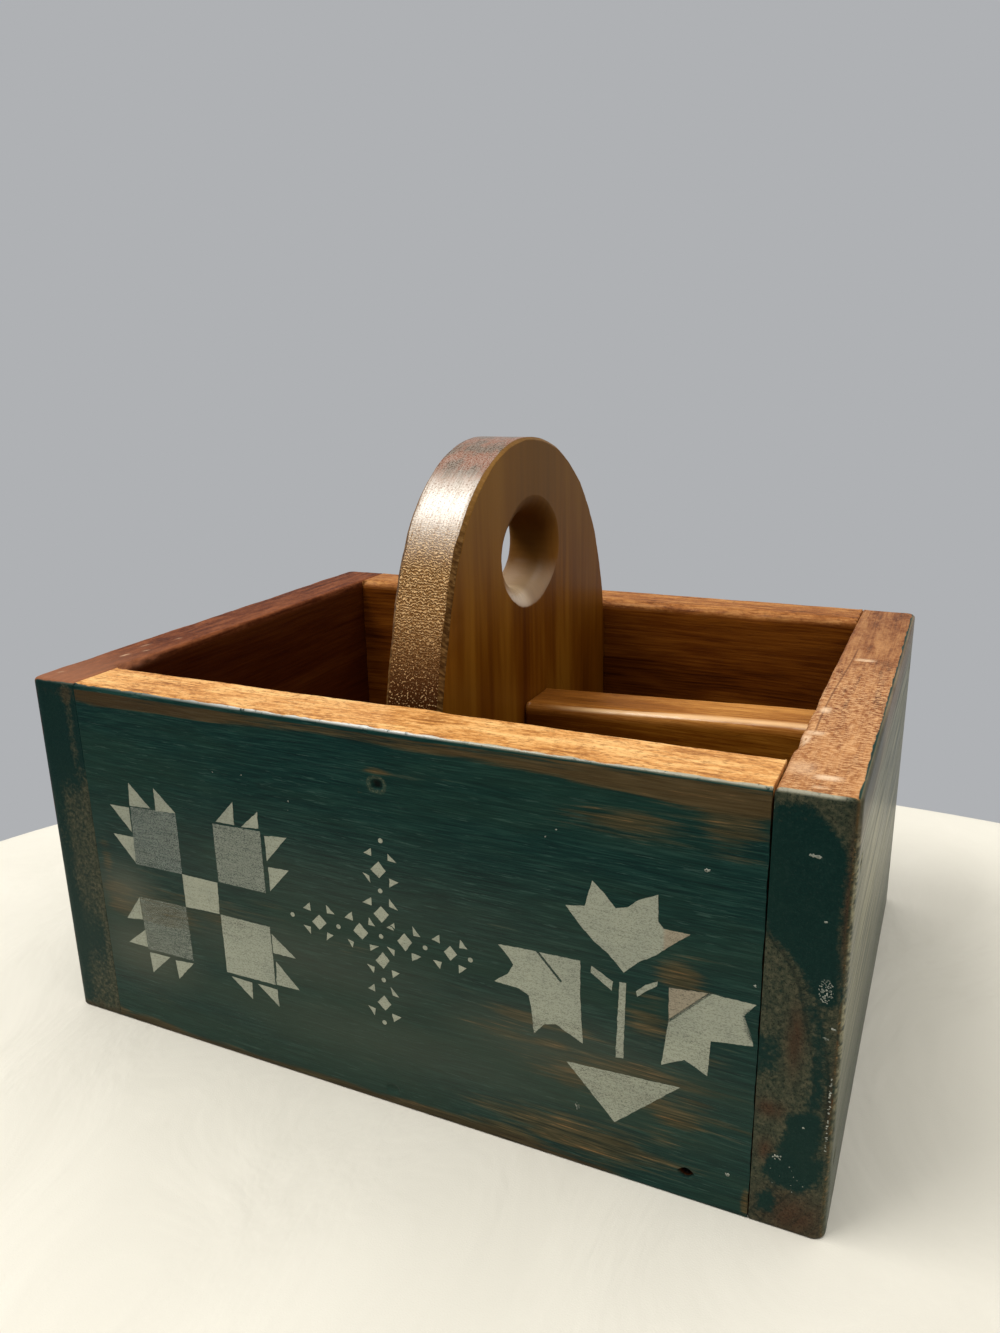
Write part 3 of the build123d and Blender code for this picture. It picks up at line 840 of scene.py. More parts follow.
# node, grain's axis and its pith across that axis in mm, grid steps, radii of the eased edges in mm,
# tones of the rim, and how strong each kind of wear is
boards = {
    "frontBoard": {
        "node": "front_board", "axis": "X", "pith": (-120.0, 30.0), "seed": 1, "step": (1.3, 2.2, 1.3),
        "corners": 0.15, "tops": (0.2, 0.4, 1.6, 1.3), "tones": honey, "redness": 0.0, "lap": 0.9,
        "belt": 0.42, "fadeAndReflection": 0.42, "edgeWearAndSheen": 0.9, "pores": 0.65, "rimGloss": 0.12,
        "close": {"x": [(2.1, 4.4, 0.3), (91.3, 3.4, 0.3)],
                  "z": [(104.8, 3.6, 0.3), (59.6, 3.0, 0.4), (7.4, 4.4, 0.3)]},
        # nail marks: (x, z), half sizes, depth, lip, how open (how dark its pocket is painted, as painted
        # shade), power of the outline
        "marks": [((2.1, 104.6), (2.1, 1.8), 0.6, 0.2, 0.5, 2.4),
                  ((2.9, 59.6), (1.9, 1.5), 0.12, 0.05, 0.0, 2.4),
                  ((1.7, 5.5), (2.4, 1.5), 0.45, 0.06, 0.15, 2.4),
                  ((91.3, 8.4), (2.3, 1.6), 2.3, 0.1, 1.0, 1.3)],
    },
    "backBoard": {
        "node": "back_board", "axis": "X", "pith": (60.0, -60.0), "seed": 2, "step": (2.0, 2.2, 2.0),
        "corners": 0.3, "tops": (0.6, 0.6, 4.0, 1.5), "tones": amber, "redness": 0.05, "lap": 0.7,
        "belt": 0.3, "fadeAndReflection": 0.4, "edgeWearAndSheen": 0.5, "pores": 0.5, "rimGloss": 0.04,
    },
    "leftEndBoard": {
        "node": "left_end_board", "axis": "Y", "pith": (-50.0, 60.0), "seed": 3, "step": (0.9, 1.6, 1.3),
        "corners": (3.5, 0.15), "tops": (1.8, 1.3, 1.3, 1.5), "tones": russet, "redness": 0.75, "lap": 0.5,
        "belt": 0.2, "fadeAndReflection": 0.3, "edgeWearAndSheen": 0.15, "pores": 0.35, "rimGloss": 0.0, "paintedFrontLight": 0.5,
        "dents": [((-108.0, -71.5, 121.0), (3.2, 3.4, 3.2), 1.9, (-0.7, 0, -0.7)),
                  ((-108.0, -65.0, 121.0), (2.8, 4.0, 2.8), 1.5, (-0.7, 0, -0.7)),
                  ((-108.0, -58.0, 121.0), (2.2, 3.4, 2.2), 1.1, (-0.7, 0, -0.7))],
    },
    "rightEndBoard": {
        "node": "right_end_board", "axis": "Y", "pith": (50.0, 43.0), "seed": 4, "step": (0.8, 1.4, 1.1),
        "corners": (3.5, 0.2), "tops": (1.2, 1.5, 1.3, 1.6), "tones": chestnut, "redness": 0.3, "lap": 1.2,
        "belt": 0.22, "ticks": 0.75, "fadeAndReflection": 0.3, "edgeWearAndSheen": 0.7, "pores": 0.16, "rimGloss": 0.06,
        "ringWidth": 4.28, "rings": 0.5, "ladder": 73.2, "sheen": True,
        "dents": [((108.0, -62.0, 121.0), (2.4, 6.0, 2.4), 1.1, (0.7, 0, -0.7)),
                  ((108.0, -48.0, 121.0), (2.0, 4.0, 2.0), 0.8, (0.7, 0, -0.7)),
                  ((108.0, -30.0, 121.0), (2.0, 7.0, 2.0), 0.6, (0.7, 0, -0.7))],
    },
}
boardSeed = 3.7         # what a board's seed is multiplied by in its grain
wallEnds = (0.0, 0.12, 0.3, 0.5, 0.8, 1.15, 1.6, 2.2, 3.0, 4.2)        # mm, grid lines near an edge
joint = {"film": 0.05, "left": 0.03, "right": 0.15}      # mm, room for paint in front, and open joints
cornerNails = [(y, z) for y in (-84.0, 84.0) for z in (19.0, 102.0)]

# pale scuffs on the rims: (x, y, half width, half length, how much)
scuffs = [(116.0, 20.0, 2.8, 1.1, 0.9), (111.1, -34.2, 1.3, 2.4, 0.9), (111.2, -53.5, 2.2, 1.4, 0.75),
          (109.4, -59.0, 1.2, 3.0, 0.8), (118.1, -82.8, 3.0, 1.3, 0.95), (117.2, -89.3, 1.6, 0.8, 0.5),
          (111.5, -79.0, 3.2, 4.0, 0.35), (-122.0, -86.0, 0.5, 0.8, 0.5), (-118.5, -80.0, 0.4, 0.6, 0.4),
          (-117.0, -62.0, 0.6, 1.6, 0.6), (-114.5, -55.0, 0.4, 0.8, 0.5), (-119.5, -50.0, 0.5, 1.8, 0.35),
          (-115.0, -38.0, 0.5, 1.0, 0.35)]


def keepInside(piece, low, high):
    # holds a finished mesh inside its node's box
    places = np.empty(len(piece.data.vertices) * 3)
    piece.data.vertices.foreach_get("co", places)
    places = np.clip(places.reshape(-1, 3), np.array(low) * mm, np.array(high) * mm)
    piece.data.vertices.foreach_set("co", places.ravel())
    piece.data.update()


def frontWear(points, attributes, spec, low):
    # rubbed paint and nail marks on the front, and the joint at its right, which opens upwards
    face = points[:, 1] < low[1] + 1.8
    attributes["rub"] = soften(points[:, 0], points[:, 2], rubs) * face
    attributes["haze"] = soften(points[:, 0], points[:, 2], hazes) * face
    for (mx, mz), size, depth, lip, pitted, power in spec["marks"]:
        points, ring, pocket = pressMark(points, (mx, low[1], mz), ((1, 0, 0), (0, 0, 1)), (0, -1, 0),
                                         size, depth, lip, power)
        attributes["flake"] = np.maximum(attributes["flake"], ring * (lip > 0.11))
        # an open pocket is painted dark: painted shade
        attributes["pit"] = np.maximum(attributes["pit"], pocket * pitted)
    # the rim's inner edge swells a little in front of the handle
    swell = np.exp(-((points[:, 0] - 6) / 9.0) ** 2) * (points[:, 2] > 112) * (points[:, 1] > -80)
    points[:, 1] += swell * 1.2
    right = np.clip((points[:, 0] - 104) / 4, 0, 1)
    ragged = 0.14 * unevenness(points[:, 2], 31, 22.0)
    points[:, 0] -= right * (0.1 + ragged + 0.22 * np.clip((points[:, 2] - 40) / 80, 0, 1))
    return points


def endWear(points, attributes, side):
    # nail marks on an end board, the wear of its front and back strips, and scuffs on its rim
    for y, z in cornerNails:
        points, ring, pocket = pressMark(points, (side * halfLength, y, z), ((0, 1, 0), (0, 0, 1)),
                                         (side, 0, 0), (2.0, 1.5), 1.2, 0.12)
        attributes["flake"] = np.maximum(attributes["flake"], ring * 0.5)
        # the pockets are painted dark: painted shade
        attributes["pit"] = np.maximum(attributes["pit"], pocket)
    strip = rightStrip if side > 0 else leftStrip
    worn, attributes["rust"] = strip(np.abs(points[:, 0]), points[:, 2])
    attributes["rub"] = np.where(np.abs(points[:, 1]) > 91.5, worn, 0.12)
    for sx, sy, halfX, halfY, amount in scuffs:
        blot = amount * np.exp(-((points[:, 0] - sx) / halfX) ** 4 - ((points[:, 1] - sy) / halfY) ** 4)
        attributes["scuff"] = np.maximum(attributes["scuff"], blot)
    return points


def buildWall(name, spec):
    low, high = (np.array(corner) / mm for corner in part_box(spec["node"]))
    nodeBox = low.copy(), high.copy()
    side = 1 if "right" in spec["node"] else -1
    low[1] += joint["film"] * (spec["node"] != "back_board")       # stencils and flakes stand on the face
    if spec["node"] == "front_board":
        low[0] += joint["left"]
        high[0] -= joint["right"]
    lines = [spacedLines(low[i], high[i], spec["step"][i], spec.get("close", {}).get("xyz"[i], ()), wallEnds)
             for i in range(3)]
    points, quads = boxGrid(*lines)
    corners = {(sx, sy): spec["corners"] for sx in (-1, 1) for sy in (-1, 1)}
    if spec["axis"] == "Y":
        outer, inner = spec["corners"]
        corners = {(sx, sy): outer if sx == side else inner for sx in (-1, 1) for sy in (-1, 1)}
    points = easeBox(points, low, high, corners, spec["tops"], spec["seed"])
    attributes = {key: np.zeros(len(points)) for key in ("rub", "flake", "pit", "scuff", "rust", "haze")}
    outside = np.maximum(np.abs(points[:, 0]) / halfLength, np.abs(points[:, 1]) / halfDepth)

    if spec["node"] == "front_board":
        points = frontWear(points, attributes, spec, low)
    elif spec["axis"] == "Y":
        points = endWear(points, attributes, side)
    points = scoop(points, spec.get("dents", ()))

    # the broad faces stay true: only the rim and the eased edges wander
    attributes["still"] = 1 - np.clip((points[:, 2] - (high[2] - 5)) / 4, 0, 1)
    attributes["still"][outside > 0.9995] = 1.0
    piece = makePiece(name, points, quads, attributes)
    material = paintedBoard(name + "Finish", spec)
    throughTree(piece, rubbedTree, {**rubbed, "Seed": float(spec["seed"])}, material)
    keepInside(piece, *nodeBox)
    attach(piece, "root")
    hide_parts(spec["node"])
    print("wall", name, len(piece.data.polygons))


for wallName, wallSpec in boards.items():
    buildWall(wallName, wallSpec)


# stencil paint film, mm, and the tones of its paint
film = {
    "front": -93.49, "back": -93.38,        # y of its two faces
    "cell": 2.0, "step": 0.9, "jitter": 0.05, "seed": 11,
    "scratches": [((49.1, 64.8), (56.0, 57.2), 0.45, 0.8), ((84.8, 52.8), (95.6, 64.2), 0.5, 0.5)],
    "wornTip": ((106.8, 60.0), (107.8, 56.0), 3.6, 0.8),
    "faint": tone(140, 154, 150), "full": tone(196, 197, 170), "stain": tone(150, 156, 142),
    "pink": tone(176, 146, 116),
}


def filmShapes():
    # every outline with its strength and tint
    shapes = list(zip(bearsPaw["squares"], bearsPaw["squareStrengths"], bearsPaw["squareTints"]))
    shapes += [(outline, bearsPaw["clawStrength"], bearsPaw["clawTint"]) for outline in bearsPaw["claws"]]
    cross, tulip = ((spec["strength"], spec["tint"]) for spec in (crossBlock, tulipBlock))
    shapes += [(outline, *cross) for outline in crossBlock["squares"] + crossBlock["triangles"]]
    for cx, cz in crossBlock["dots"]:
        ring = [(cx + crossBlock["dotRadius"] * math.cos(a), cz + crossBlock["dotRadius"] * math.sin(a))
                for a in np.linspace(0, 2 * math.pi, 12, endpoint=False)]
        shapes.append((ring, *cross))
    shapes += [(outline, *tulip) for key, outline in tulipBlock.items() if key not in ("strength", "tint")]
    return shapes


def raggedEdge(outline, draw):
    # an outline run round one way, with closer points that wander a little between its corners
    outline = list(outline)
    if sum((b[0] - a[0]) * (b[1] + a[1]) for a, b in zip(outline, outline[1:] + outline[:1])) >= 0:
        outline.reverse()
    edge = []
    for a, b in zip(outline, outline[1:] + outline[:1]):
        count = max(1, int(math.dist(a, b) / film["step"]))
        for k in range(count):
            t = k / count
            shift = draw.normal(0, film["jitter"], 2) if k else (0, 0)
            edge.append((a[0] + (b[0] - a[0]) * t + shift[0], a[1] + (b[1] - a[1]) * t + shift[1]))
    return edge


def cutSheet(edge):
    # a closed sheet inside an edge, cut into cells so that it carries the wear
    shape = bmesh.new()
    shape.faces.new([shape.verts.new((px * mm, 0, pz * mm)) for px, pz in edge])
    cell = film["cell"]
    for axis, places in ((0, [p[0] for p in edge]), (2, [p[1] for p in edge])):
        for cut in np.arange(math.ceil(min(places) / cell) * cell, max(places), cell):
            co, no = [0, 0, 0], [0, 0, 0]
            co[axis], no[axis] = cut * mm, 1
            geometry = shape.verts[:] + shape.edges[:] + shape.faces[:]
            bmesh.ops.bisect_plane(shape, geom=geometry, plane_co=co, plane_no=no, dist=1e-6)
    bmesh.ops.recalc_face_normals(shape, faces=shape.faces[:])
    if sum(face.normal.y for face in shape.faces) > 0:
        bmesh.ops.reverse_faces(shape, faces=shape.faces[:])
    lifted = bmesh.ops.extrude_face_region(shape, geom=shape.faces[:])
    front = [item for item in lifted["geom"] if isinstance(item, bmesh.types.BMVert)]
    for vert in shape.verts:
        vert.co.y = film["back"] * mm
    for vert in front:
        vert.co.y = film["front"] * mm
    bmesh.ops.recalc_face_normals(shape, faces=shape.faces[:])
    return shape


def buildStencils():
    # thin films of cream paint, all in one mesh
    draw = np.random.default_rng(film["seed"])
    sheets = bmesh.new()
    layers = [sheets.verts.layers.float.new(key) for key in ("strength", "tint")]
    for outline, *values in filmShapes():
        shape = cutSheet(raggedEdge(outline, draw))
        mesh = bpy.data.meshes.new("oneShape")
        shape.to_mesh(mesh)
        shape.free()
        before = len(sheets.verts)
        sheets.from_mesh(mesh)
        sheets.verts.ensure_lookup_table()
        for vert in sheets.verts[before:]:
            for layer, value in zip(layers, values):
                vert[layer] = value
        bpy.data.meshes.remove(mesh)
    mesh = bpy.data.meshes.new("stencils")
    sheets.to_mesh(mesh)
    sheets.free()
    piece = bpy.data.objects.new("stencils", mesh)
    bpy.context.scene.collection.objects.link(piece)
    places = np.array([vert.co[:] for vert in mesh.vertices]) / mm
    worn = soften(places[:, 0], places[:, 2], rubs)
    mesh.attributes.new("rub", "FLOAT", "POINT").data.foreach_set("value", worn)
    return piece


def stencilPaint():
    # cream paint that thins out along the grain, over grit and where it is rubbed
    finish = Finish("stencilPaint")
    place = finish.place()
    x, y, z = finish.axes(place)
    drawn = woodGrain(finish, place, "X", boards["frontBoard"]["pith"], boardSeed)["drawn"]
    strength, rub, tint = (finish.attribute(key) for key in ("strength", "rub", "tint"))

    def line(a, b, width, amount):
        # a thin straight mark from a to b
        dx, dz = b[0] - a[0], b[1] - a[1]
        t = (((x - a[0]) * dx + (z - a[1]) * dz) / (dx * dx + dz * dz)).most(0.0).least(1.0)
        offX, offZ = x - a[0] - t * dx, z - a[1] - t * dz
        return (1 - ((offX * offX + offZ * offZ) ** 0.5).over(width * 0.5, width)) * amount

    grit = finish.noise(finish.scaled(place, (1.3, 1.0, 2.4)), 1.6, 3.0, 0.8)
    fine = drawn(1.1, 0.05, 4.0, 0.7)
    cover = (strength * 1.14 - fine.over(0.35, 0.75) * 0.14 - drawn(4.4, 0.12, 2.0).over(0.45, 0.7) * 0.12
             - grit.over(0.47, 0.62) * 0.37 - rub * 0.3)
    for scratch in film["scratches"]:
        cover = cover - line(*scratch)
    cover = (cover * (1 - line(*film["wornTip"]))).most(0.0).least(0.92)
    colour = finish.blend(tint, film["faint"], film["full"])
    colour = finish.blend(finish.noise(place, 0.08, 2.0).over(0.35, 0.7) * 0.35, colour, film["stain"])
    # pinkish above the line of the second scratch
    pink = ((x - 84.8) * -11.4 + (z - 52.8) * 10.8).over(-2.0, 2.0)
    pink = pink * x.over(83.0, 84.0) * z.over(50.0, 52.0)
    colour = finish.blend(pink * 0.5, colour, film["pink"])
    normal = finish.bump(fine * 0.6 + grit * 0.4, 0.05)
    rough = 0.55 + (grit - 0.5) * 0.2
    return finish.surface({"Base Color": colour, "Roughness": rough, "Alpha": cover, "Normal": normal},
                          {"Specular IOR Level": 0.4})


stencils = buildStencils()
stencils.data.materials.append(stencilPaint())
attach(stencils, "root")
print("stencils", len(stencils.data.polygons))


# flakes: specks and crumbs of paint that stand on the surface
flakes = {
    "Thickness": 0.05,      # mm
    "Seed": 7,
}
flakeTones = {"old": tone(112, 120, 108), "pale": tone(184, 186, 172)}
# patches that carry them: (middle x, middle z, half width, half height, how many, radius, mm)
flakePatches = [
    (93.7, 97.5, 0.5, 0.3, 7, 0.45), (102.2, 11.9, 0.45, 0.3, 6, 0.4), (51.9, 98.3, 0.2, 0.2, 2, 0.35),
    (54.9, 101.1, 0.2, 0.2, 2, 0.3), (-55.4, 99.3, 0.2, 0.2, 2, 0.25), (-44.5, 100.1, 0.2, 0.2, 2, 0.25),
    (-28.3, 94.3, 0.2, 0.3, 2, 0.25), (-28.5, 91.7, 0.2, 0.2, 2, 0.25), (106.2, 69.1, 0.4, 0.3, 3, 0.3),
    (122.5, 72.0, 1.7, 3.4, 90, 0.2), (117.8, 106.0, 1.3, 0.35, 16, 0.4), (123.2, 59.3, 0.8, 0.25, 8, 0.32),
    (124.9, 62.4, 0.5, 0.25, 5, 0.3), (114.3, 21.8, 1.3, 0.8, 12, 0.3), (119.7, 32.8, 0.3, 0.3, 3, 0.35),
    (121.3, 90.0, 0.3, 0.4, 4, 0.3), (125.4, 38.0, 0.25, 13.0, 46, 0.24), (117.0, 16.0, 5.0, 4.0, 8, 0.16),
    (60.9, 19.5, 0.7, 1.4, 18, 0.2),
]


def makeFlakeTree():
    # scatters flat crumbs over the patches' faces, as many as each face asks for
    tree, enter = makeTree("paintFlakes", {"Thickness": "Float", "Seed": "Int"})
    node = partial(addNode, tree)
    density, radius = (node("GeometryNodeInputNamedAttribute", {"data_type": "FLOAT"}, {"Name": key})
                       for key in ("density", "radius"))
    spots = node("GeometryNodeDistributePointsOnFaces", {"distribute_method": "RANDOM"},
                 {"Mesh": enter.outputs["Geometry"], "Density": density.outputs["Attribute"],
                  "Seed": enter.outputs["Seed"]})
    crumb = node("GeometryNodeMeshCone", None,
                 {"Vertices": 7, "Radius Top": 0.6, "Radius Bottom": 1.0, "Depth": 1.0})
    spin = node("FunctionNodeRandomValue", {"data_type": "FLOAT"}, {"Min": 0.0, "Max": 6.28, "Seed": 1})
    turn = node("ShaderNodeCombineXYZ", None, {"X": math.pi / 2, "Y": spin.outputs[1]})
    size = node("FunctionNodeRandomValue", {"data_type": "FLOAT_VECTOR"},
                {"Min": (0.4, 0.3, 1.0), "Max": (1.3, 1.0, 1.0), "Seed": 2})
    wide = node("ShaderNodeVectorMath", {"operation": "SCALE"},
                {0: size.outputs[0], "Scale": radius.outputs["Attribute"]})
    split = node("ShaderNodeSeparateXYZ", None, {0: wide.outputs[0]})
    thick = node("ShaderNodeMath", {"operation": "MULTIPLY"}, {0: enter.outputs["Thickness"], 1: mm})
    scale = node("ShaderNodeCombineXYZ", None,
                 {"X": split.outputs["X"], "Y": split.outputs["Y"], "Z": thick.outputs[0]})
    placed = node("GeometryNodeInstanceOnPoints", None,
                  {"Points": spots.outputs["Points"], "Instance": crumb.outputs["Mesh"],
                   "Rotation": turn.outputs[0], "Scale": scale.outputs[0]})
    return endTree(tree, placed.outputs[0], enter.outputs["Finish"])


def flakePaint():
    finish = Finish("oldPaintFlake")
    pale = finish.noise(finish.place(), 0.5, 2.0)
    colour = finish.ramp(pale, [(0.35, flakeTones["old"]), (0.65, flakeTones["pale"])])
    return finish.surface({"Base Color": colour, "Roughness": 0.5 + (pale - 0.5) * 0.2})


def buildFlakes():
    # one flat face of twelve corners for each patch, which the tree turns into its flakes
    points, faces, density, radius = [], [], [], []
    level = flakes["Thickness"] - halfDepth
    corners = 12
    for cx, cz, halfWidth, halfHeight, count, size in flakePatches:
        start = len(points)
        area = 3.0 * halfWidth * halfHeight * mm * mm      # of twelve corners on an oval
        for k in range(corners):
            a = 2 * math.pi * k / corners
            points.append((cx + halfWidth * math.cos(a), level, cz + halfHeight * math.sin(a)))
            density.append(count / area)
            radius.append(size * mm)
        faces.append(list(range(start, start + corners)))
    piece = makePiece("paintFlakes", points, faces, {"density": density, "radius": radius})
    throughTree(piece, makeFlakeTree(), flakes, flakePaint())
    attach(piece, "root")
    print("flakes", len(piece.data.polygons))


buildFlakes()


# handle, mm
handle = {
    "frontSpring": 65.5, "backSpring": 102.7,           # where the edges leave the walls
    "crest": 191.5, "crestShift": -4.6, "foot": 13.0,
    "frontCrestRadius": 58.0, "backCrestRadius": 76.0,
    "gripWidth": 37.0, "gripHeight": 25.0, "gripEndRadius": 9.0, "gripPlace": (-1.5, 154.2),
    "edgeCut": 1.5, "gripRound": 5.8, "gripFlare": 64.0,        # the flare in degrees
    "steps": {"foot": 48, "back": 40, "backSide": 26, "backCrest": 44, "frontCrest": 40, "frontSide": 56,
              "front": 24, "hole": 60, "bore": 5, "flare": 8, "band": 6},
    # where the lines of the face and of the slanted trim run, as shares of their width
    "faceLines": (0.008, 0.03, 0.06, 0.1, 0.16, 0.24, 0.33, 0.42, 0.52, 0.62, 0.71, 0.79, 0.86, 0.92, 0.96,
                  0.985),
    "cutLines": (0.0, 0.07, 0.2, 0.5, 0.8, 0.93, 1.0),
    "dents": [((-9.5, -62.0, 129.0), (2.2, 3.0, 3.0), 0.9, (0.7, 0.7, 0)),
              ((9.5, -57.0, 142.0), (1.6, 4.0, 4.0), 0.35, (-0.7, 0.7, 0)),
              ((9.5, -61.0, 132.0), (1.6, 3.0, 3.0), 0.4, (-0.7, 0.7, 0))],
}
# of these, the face's low tone is painted shade and its top tone a painted sheen, the worn tones are wear
# with a painted highlight, the lip tone a painted highlight and the low tone painted shade on the band
handleTones = {
    "faceDark": tone(92, 46, 2), "face": tone(130, 76, 8), "faceLight": tone(164, 108, 28),
    "faceLowShade": tone(92, 42, 2), "faceTopSheen": tone(150, 114, 60), "faceBack": tone(146, 104, 52),
    "thread": tone(76, 38, 6), "bore": tone(96, 62, 20), "lip": tone(238, 208, 168),
    "ridgeDark": tone(116, 78, 36), "ridge": tone(180, 136, 82), "ridgeLight": tone(248, 206, 148),
    "wornSheenDark": tone(170, 140, 110), "wornSheenLight": tone(250, 240, 226), "crumb": tone(116, 76, 46),
    "crestDark": tone(80, 58, 36), "crestRed": tone(124, 70, 38), "low": tone(62, 27, 2),
    "cutDark": tone(76, 48, 18), "cut": tone(104, 72, 34), "cutLight": tone(142, 106, 60),
}


def largeArc(along, across, small):
    # radius and turn of the arc that a small one runs on into, up to a straight end
    radius = ((along - small) ** 2 + across ** 2 - small ** 2) / (2 * (across - small))
    return radius, math.degrees(math.atan2(along - small, radius - across))


def arcRun(path, radius, turn, count):
    # goes on from a path's end in a left-turning arc
    (y, z), heading = path[-1]
    centre = (y - radius * math.sin(heading), z + radius * math.cos(heading))
    for k in range(1, count + 1):
        now = heading + math.radians(turn) * k / count
        path.append(((centre[0] + radius * math.sin(now), centre[1] - radius * math.cos(now)), now))


def handleOutline(deep):
    # the board seen from its right side: places round it, the way out at each, how much longer a corner's
    # inset is, and the length run up to each place
    foot, steps = handle["foot"], handle["steps"]
    frontRadius, frontTurn = largeArc(handle["crest"] - handle["frontSpring"], deep + handle["crestShift"],
                                      handle["frontCrestRadius"])
    backRadius, backTurn = largeArc(handle["crest"] - handle["backSpring"], deep - handle["crestShift"],
                                    handle["backCrestRadius"])
    path = [((-deep, foot), -math.pi / 4)]
    path += [((-deep + 2 * deep * k / steps["foot"], foot), 0.0) for k in range(1, steps["foot"])]
    path += [((deep, foot), math.pi / 4)]
    rise = handle["backSpring"] - foot
    path += [((deep, foot + rise * k / steps["back"]), math.pi / 2) for k in range(1, steps["back"] + 1)]
    arcRun(path, backRadius, backTurn, steps["backSide"])
    arcRun(path, handle["backCrestRadius"], 90 - backTurn, steps["backCrest"])
    arcRun(path, handle["frontCrestRadius"], 90 - frontTurn, steps["frontCrest"])
    arcRun(path, frontRadius, frontTurn, steps["frontSide"])
    drop = handle["frontSpring"] - foot
    path += [((-deep, handle["frontSpring"] - drop * k / steps["front"]), 3 * math.pi / 2)
             for k in range(1, steps["front"])]
    outline = np.array([place for place, _ in path])
    headings = np.array([heading for _, heading in path])
    outward = np.stack([np.sin(headings), -np.cos(headings)], -1)
    mitre = np.ones(len(path))
    mitre[0] = mitre[steps["foot"]] = math.sqrt(2)
    run = np.concatenate([[0], np.cumsum(np.linalg.norm(np.diff(outline, axis=0), axis=1))])
    return outline, outward, mitre, run


def handHole(outline):
    # an oval of four arcs, with a place and a way out for each place of the outline, in its direction
    gripEnd, steps = handle["gripEndRadius"], handle["steps"]["hole"]
    flatRadius, flatTurn = largeArc(handle["gripWidth"] / 2, handle["gripHeight"] / 2, gripEnd)
    oval = [((handle["gripWidth"] / 2, 0.0), math.pi / 2)]
    arcRun(oval, gripEnd, 90 - flatTurn, steps)
    arcRun(oval, flatRadius, flatTurn, steps)
    quarter = np.array([place for place, _ in oval])
    turned = np.array([heading for _, heading in oval]) - math.pi / 2       # the outward normal's angle
    angles = np.arctan2(quarter[:, 1], quarter[:, 0])
    reaches = np.linalg.norm(quarter, axis=1)
    centre = np.array(handle["gripPlace"])
    rays = outline - centre
    theta = np.arctan2(rays[:, 1], rays[:, 0])
    folded = np.abs(theta)
    folded = np.where(folded > math.pi / 2, math.pi - folded, folded)
    reach, lean = np.interp(folded, angles, reaches), np.interp(folded, angles, turned)
    wobble = 1 + 0.012 * unevenness(theta * 20, 6, 40.0)
    hole = centre + np.stack([np.cos(theta), np.sin(theta)], -1) * (reach * wobble)[:, None]
    holeOut = np.stack([np.cos(lean) * np.sign(np.cos(theta)), np.sin(lean) * np.sign(np.sin(theta))], -1)
    return hole, holeOut


def handleLines(outline, outward, mitre, edgeCut, half):
    # the closed lines of the mesh, in order round the board's thickness:
    # (line, x, on the band, in the bore, on the cut edge)
    hole, holeOut = handHole(outline)
    gripRound, steps, count = handle["gripRound"], handle["steps"], len(outline)
    rows = []
    for x in np.linspace(-(half - gripRound), half - gripRound, steps["bore"] + 1)[:-1]:
        rows.append((hole, np.full(count, x), 0.0, 1.0, 0.0))
    flare = math.radians(handle["gripFlare"])      # the hole's flare meets the face at an angle
    for a in np.linspace(0, flare, steps["flare"] + 1):
        inset = gripRound * (1 - math.cos(a)) / (1 - math.cos(flare))
        level = half - gripRound + gripRound * math.sin(a) / math.sin(flare)
        rows.append((hole + holeOut * inset, np.full(count, level), 0.0, 1 - a / flare * 0.6, 0.0))
    inner = hole + holeOut * gripRound
    rim = outline - outward * (edgeCut * mitre)[:, None]
    for t in handle["faceLines"]:
        rows.append((inner + (rim - inner) * t, np.full(count, half), 0.0, 0.0, 0.0))
    for t in handle["cutLines"]:
        full = 0.06 < t < 0.94
        rows.append((outline - outward * (edgeCut * (1 - t) * mitre)[:, None], half - edgeCut * t,
                     float(t > 0.9), 0.0, float(full)))
    for k in range(1, steps["band"] + 1):
        level = (half - edgeCut) * (1 - k / steps["band"])
        rows.append((outline, level, 1.0, 0.0, 0.0))
    # the other half mirrors what is there, but for the middle of the hole's wall
    bore, forward = rows[:steps["bore"]], rows[steps["bore"]:]
    mirrored = [(place, -x, *masks) for place, x, *masks in reversed(forward[:-1])]
    return bore + forward + mirrored[:-1]


def buildHandle():
    low, high = (np.array(corner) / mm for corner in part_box("handle_board"))
    outline, outward, mitre, run = handleOutline(high[1])
    # the slanted trim along the edge wanders, thins out towards the crest and is slight at the foot
    edgeCut = handle["edgeCut"] * (1 + 0.16 * unevenness(run, 21, 30.0))
    edgeCut *= np.interp(outline[:, 1], [165, 186], [1, 0.6])
    edgeCut[outline[:, 1] < handle["foot"] + 0.01] = 0.3
    loop = handleLines(outline, outward, mitre, edgeCut, (high[0] - low[0]) / 2)
    points = np.stack([np.stack([x, place[:, 0], place[:, 1]], -1) for place, x, *_ in loop], 1)
    count, columns = points.shape[:2]
    band, bore, cut = (np.tile(np.array([masks[i] for _, _, *masks in loop]), (count, 1)) for i in range(3))
    along = np.tile(run[:, None], (1, columns))
    index = np.arange(count * columns).reshape(count, columns)
    nextRow, nextColumn = np.roll(index, -1, 0), np.roll(index, -1, 1)
    quads = np.stack([index, nextRow, np.roll(nextRow, -1, 1), nextColumn], -1).reshape(-1, 4)
    flatPoints = scoop(points.reshape(-1, 3), handle["dents"])
    still = np.where(flatPoints[:, 2] < 30, 1.0, 0.0)
    place = np.stack([along.ravel(), flatPoints[:, 0], np.zeros(count * columns)], -1)
    attributes = {"band": band.ravel(), "bore": bore.ravel(), "cut": cut.ravel(), "bandPlace": place,
                  "still": still}
    piece = makePiece("handleBoard", flatPoints, quads, attributes)
    turnOutward(piece)
    return piece


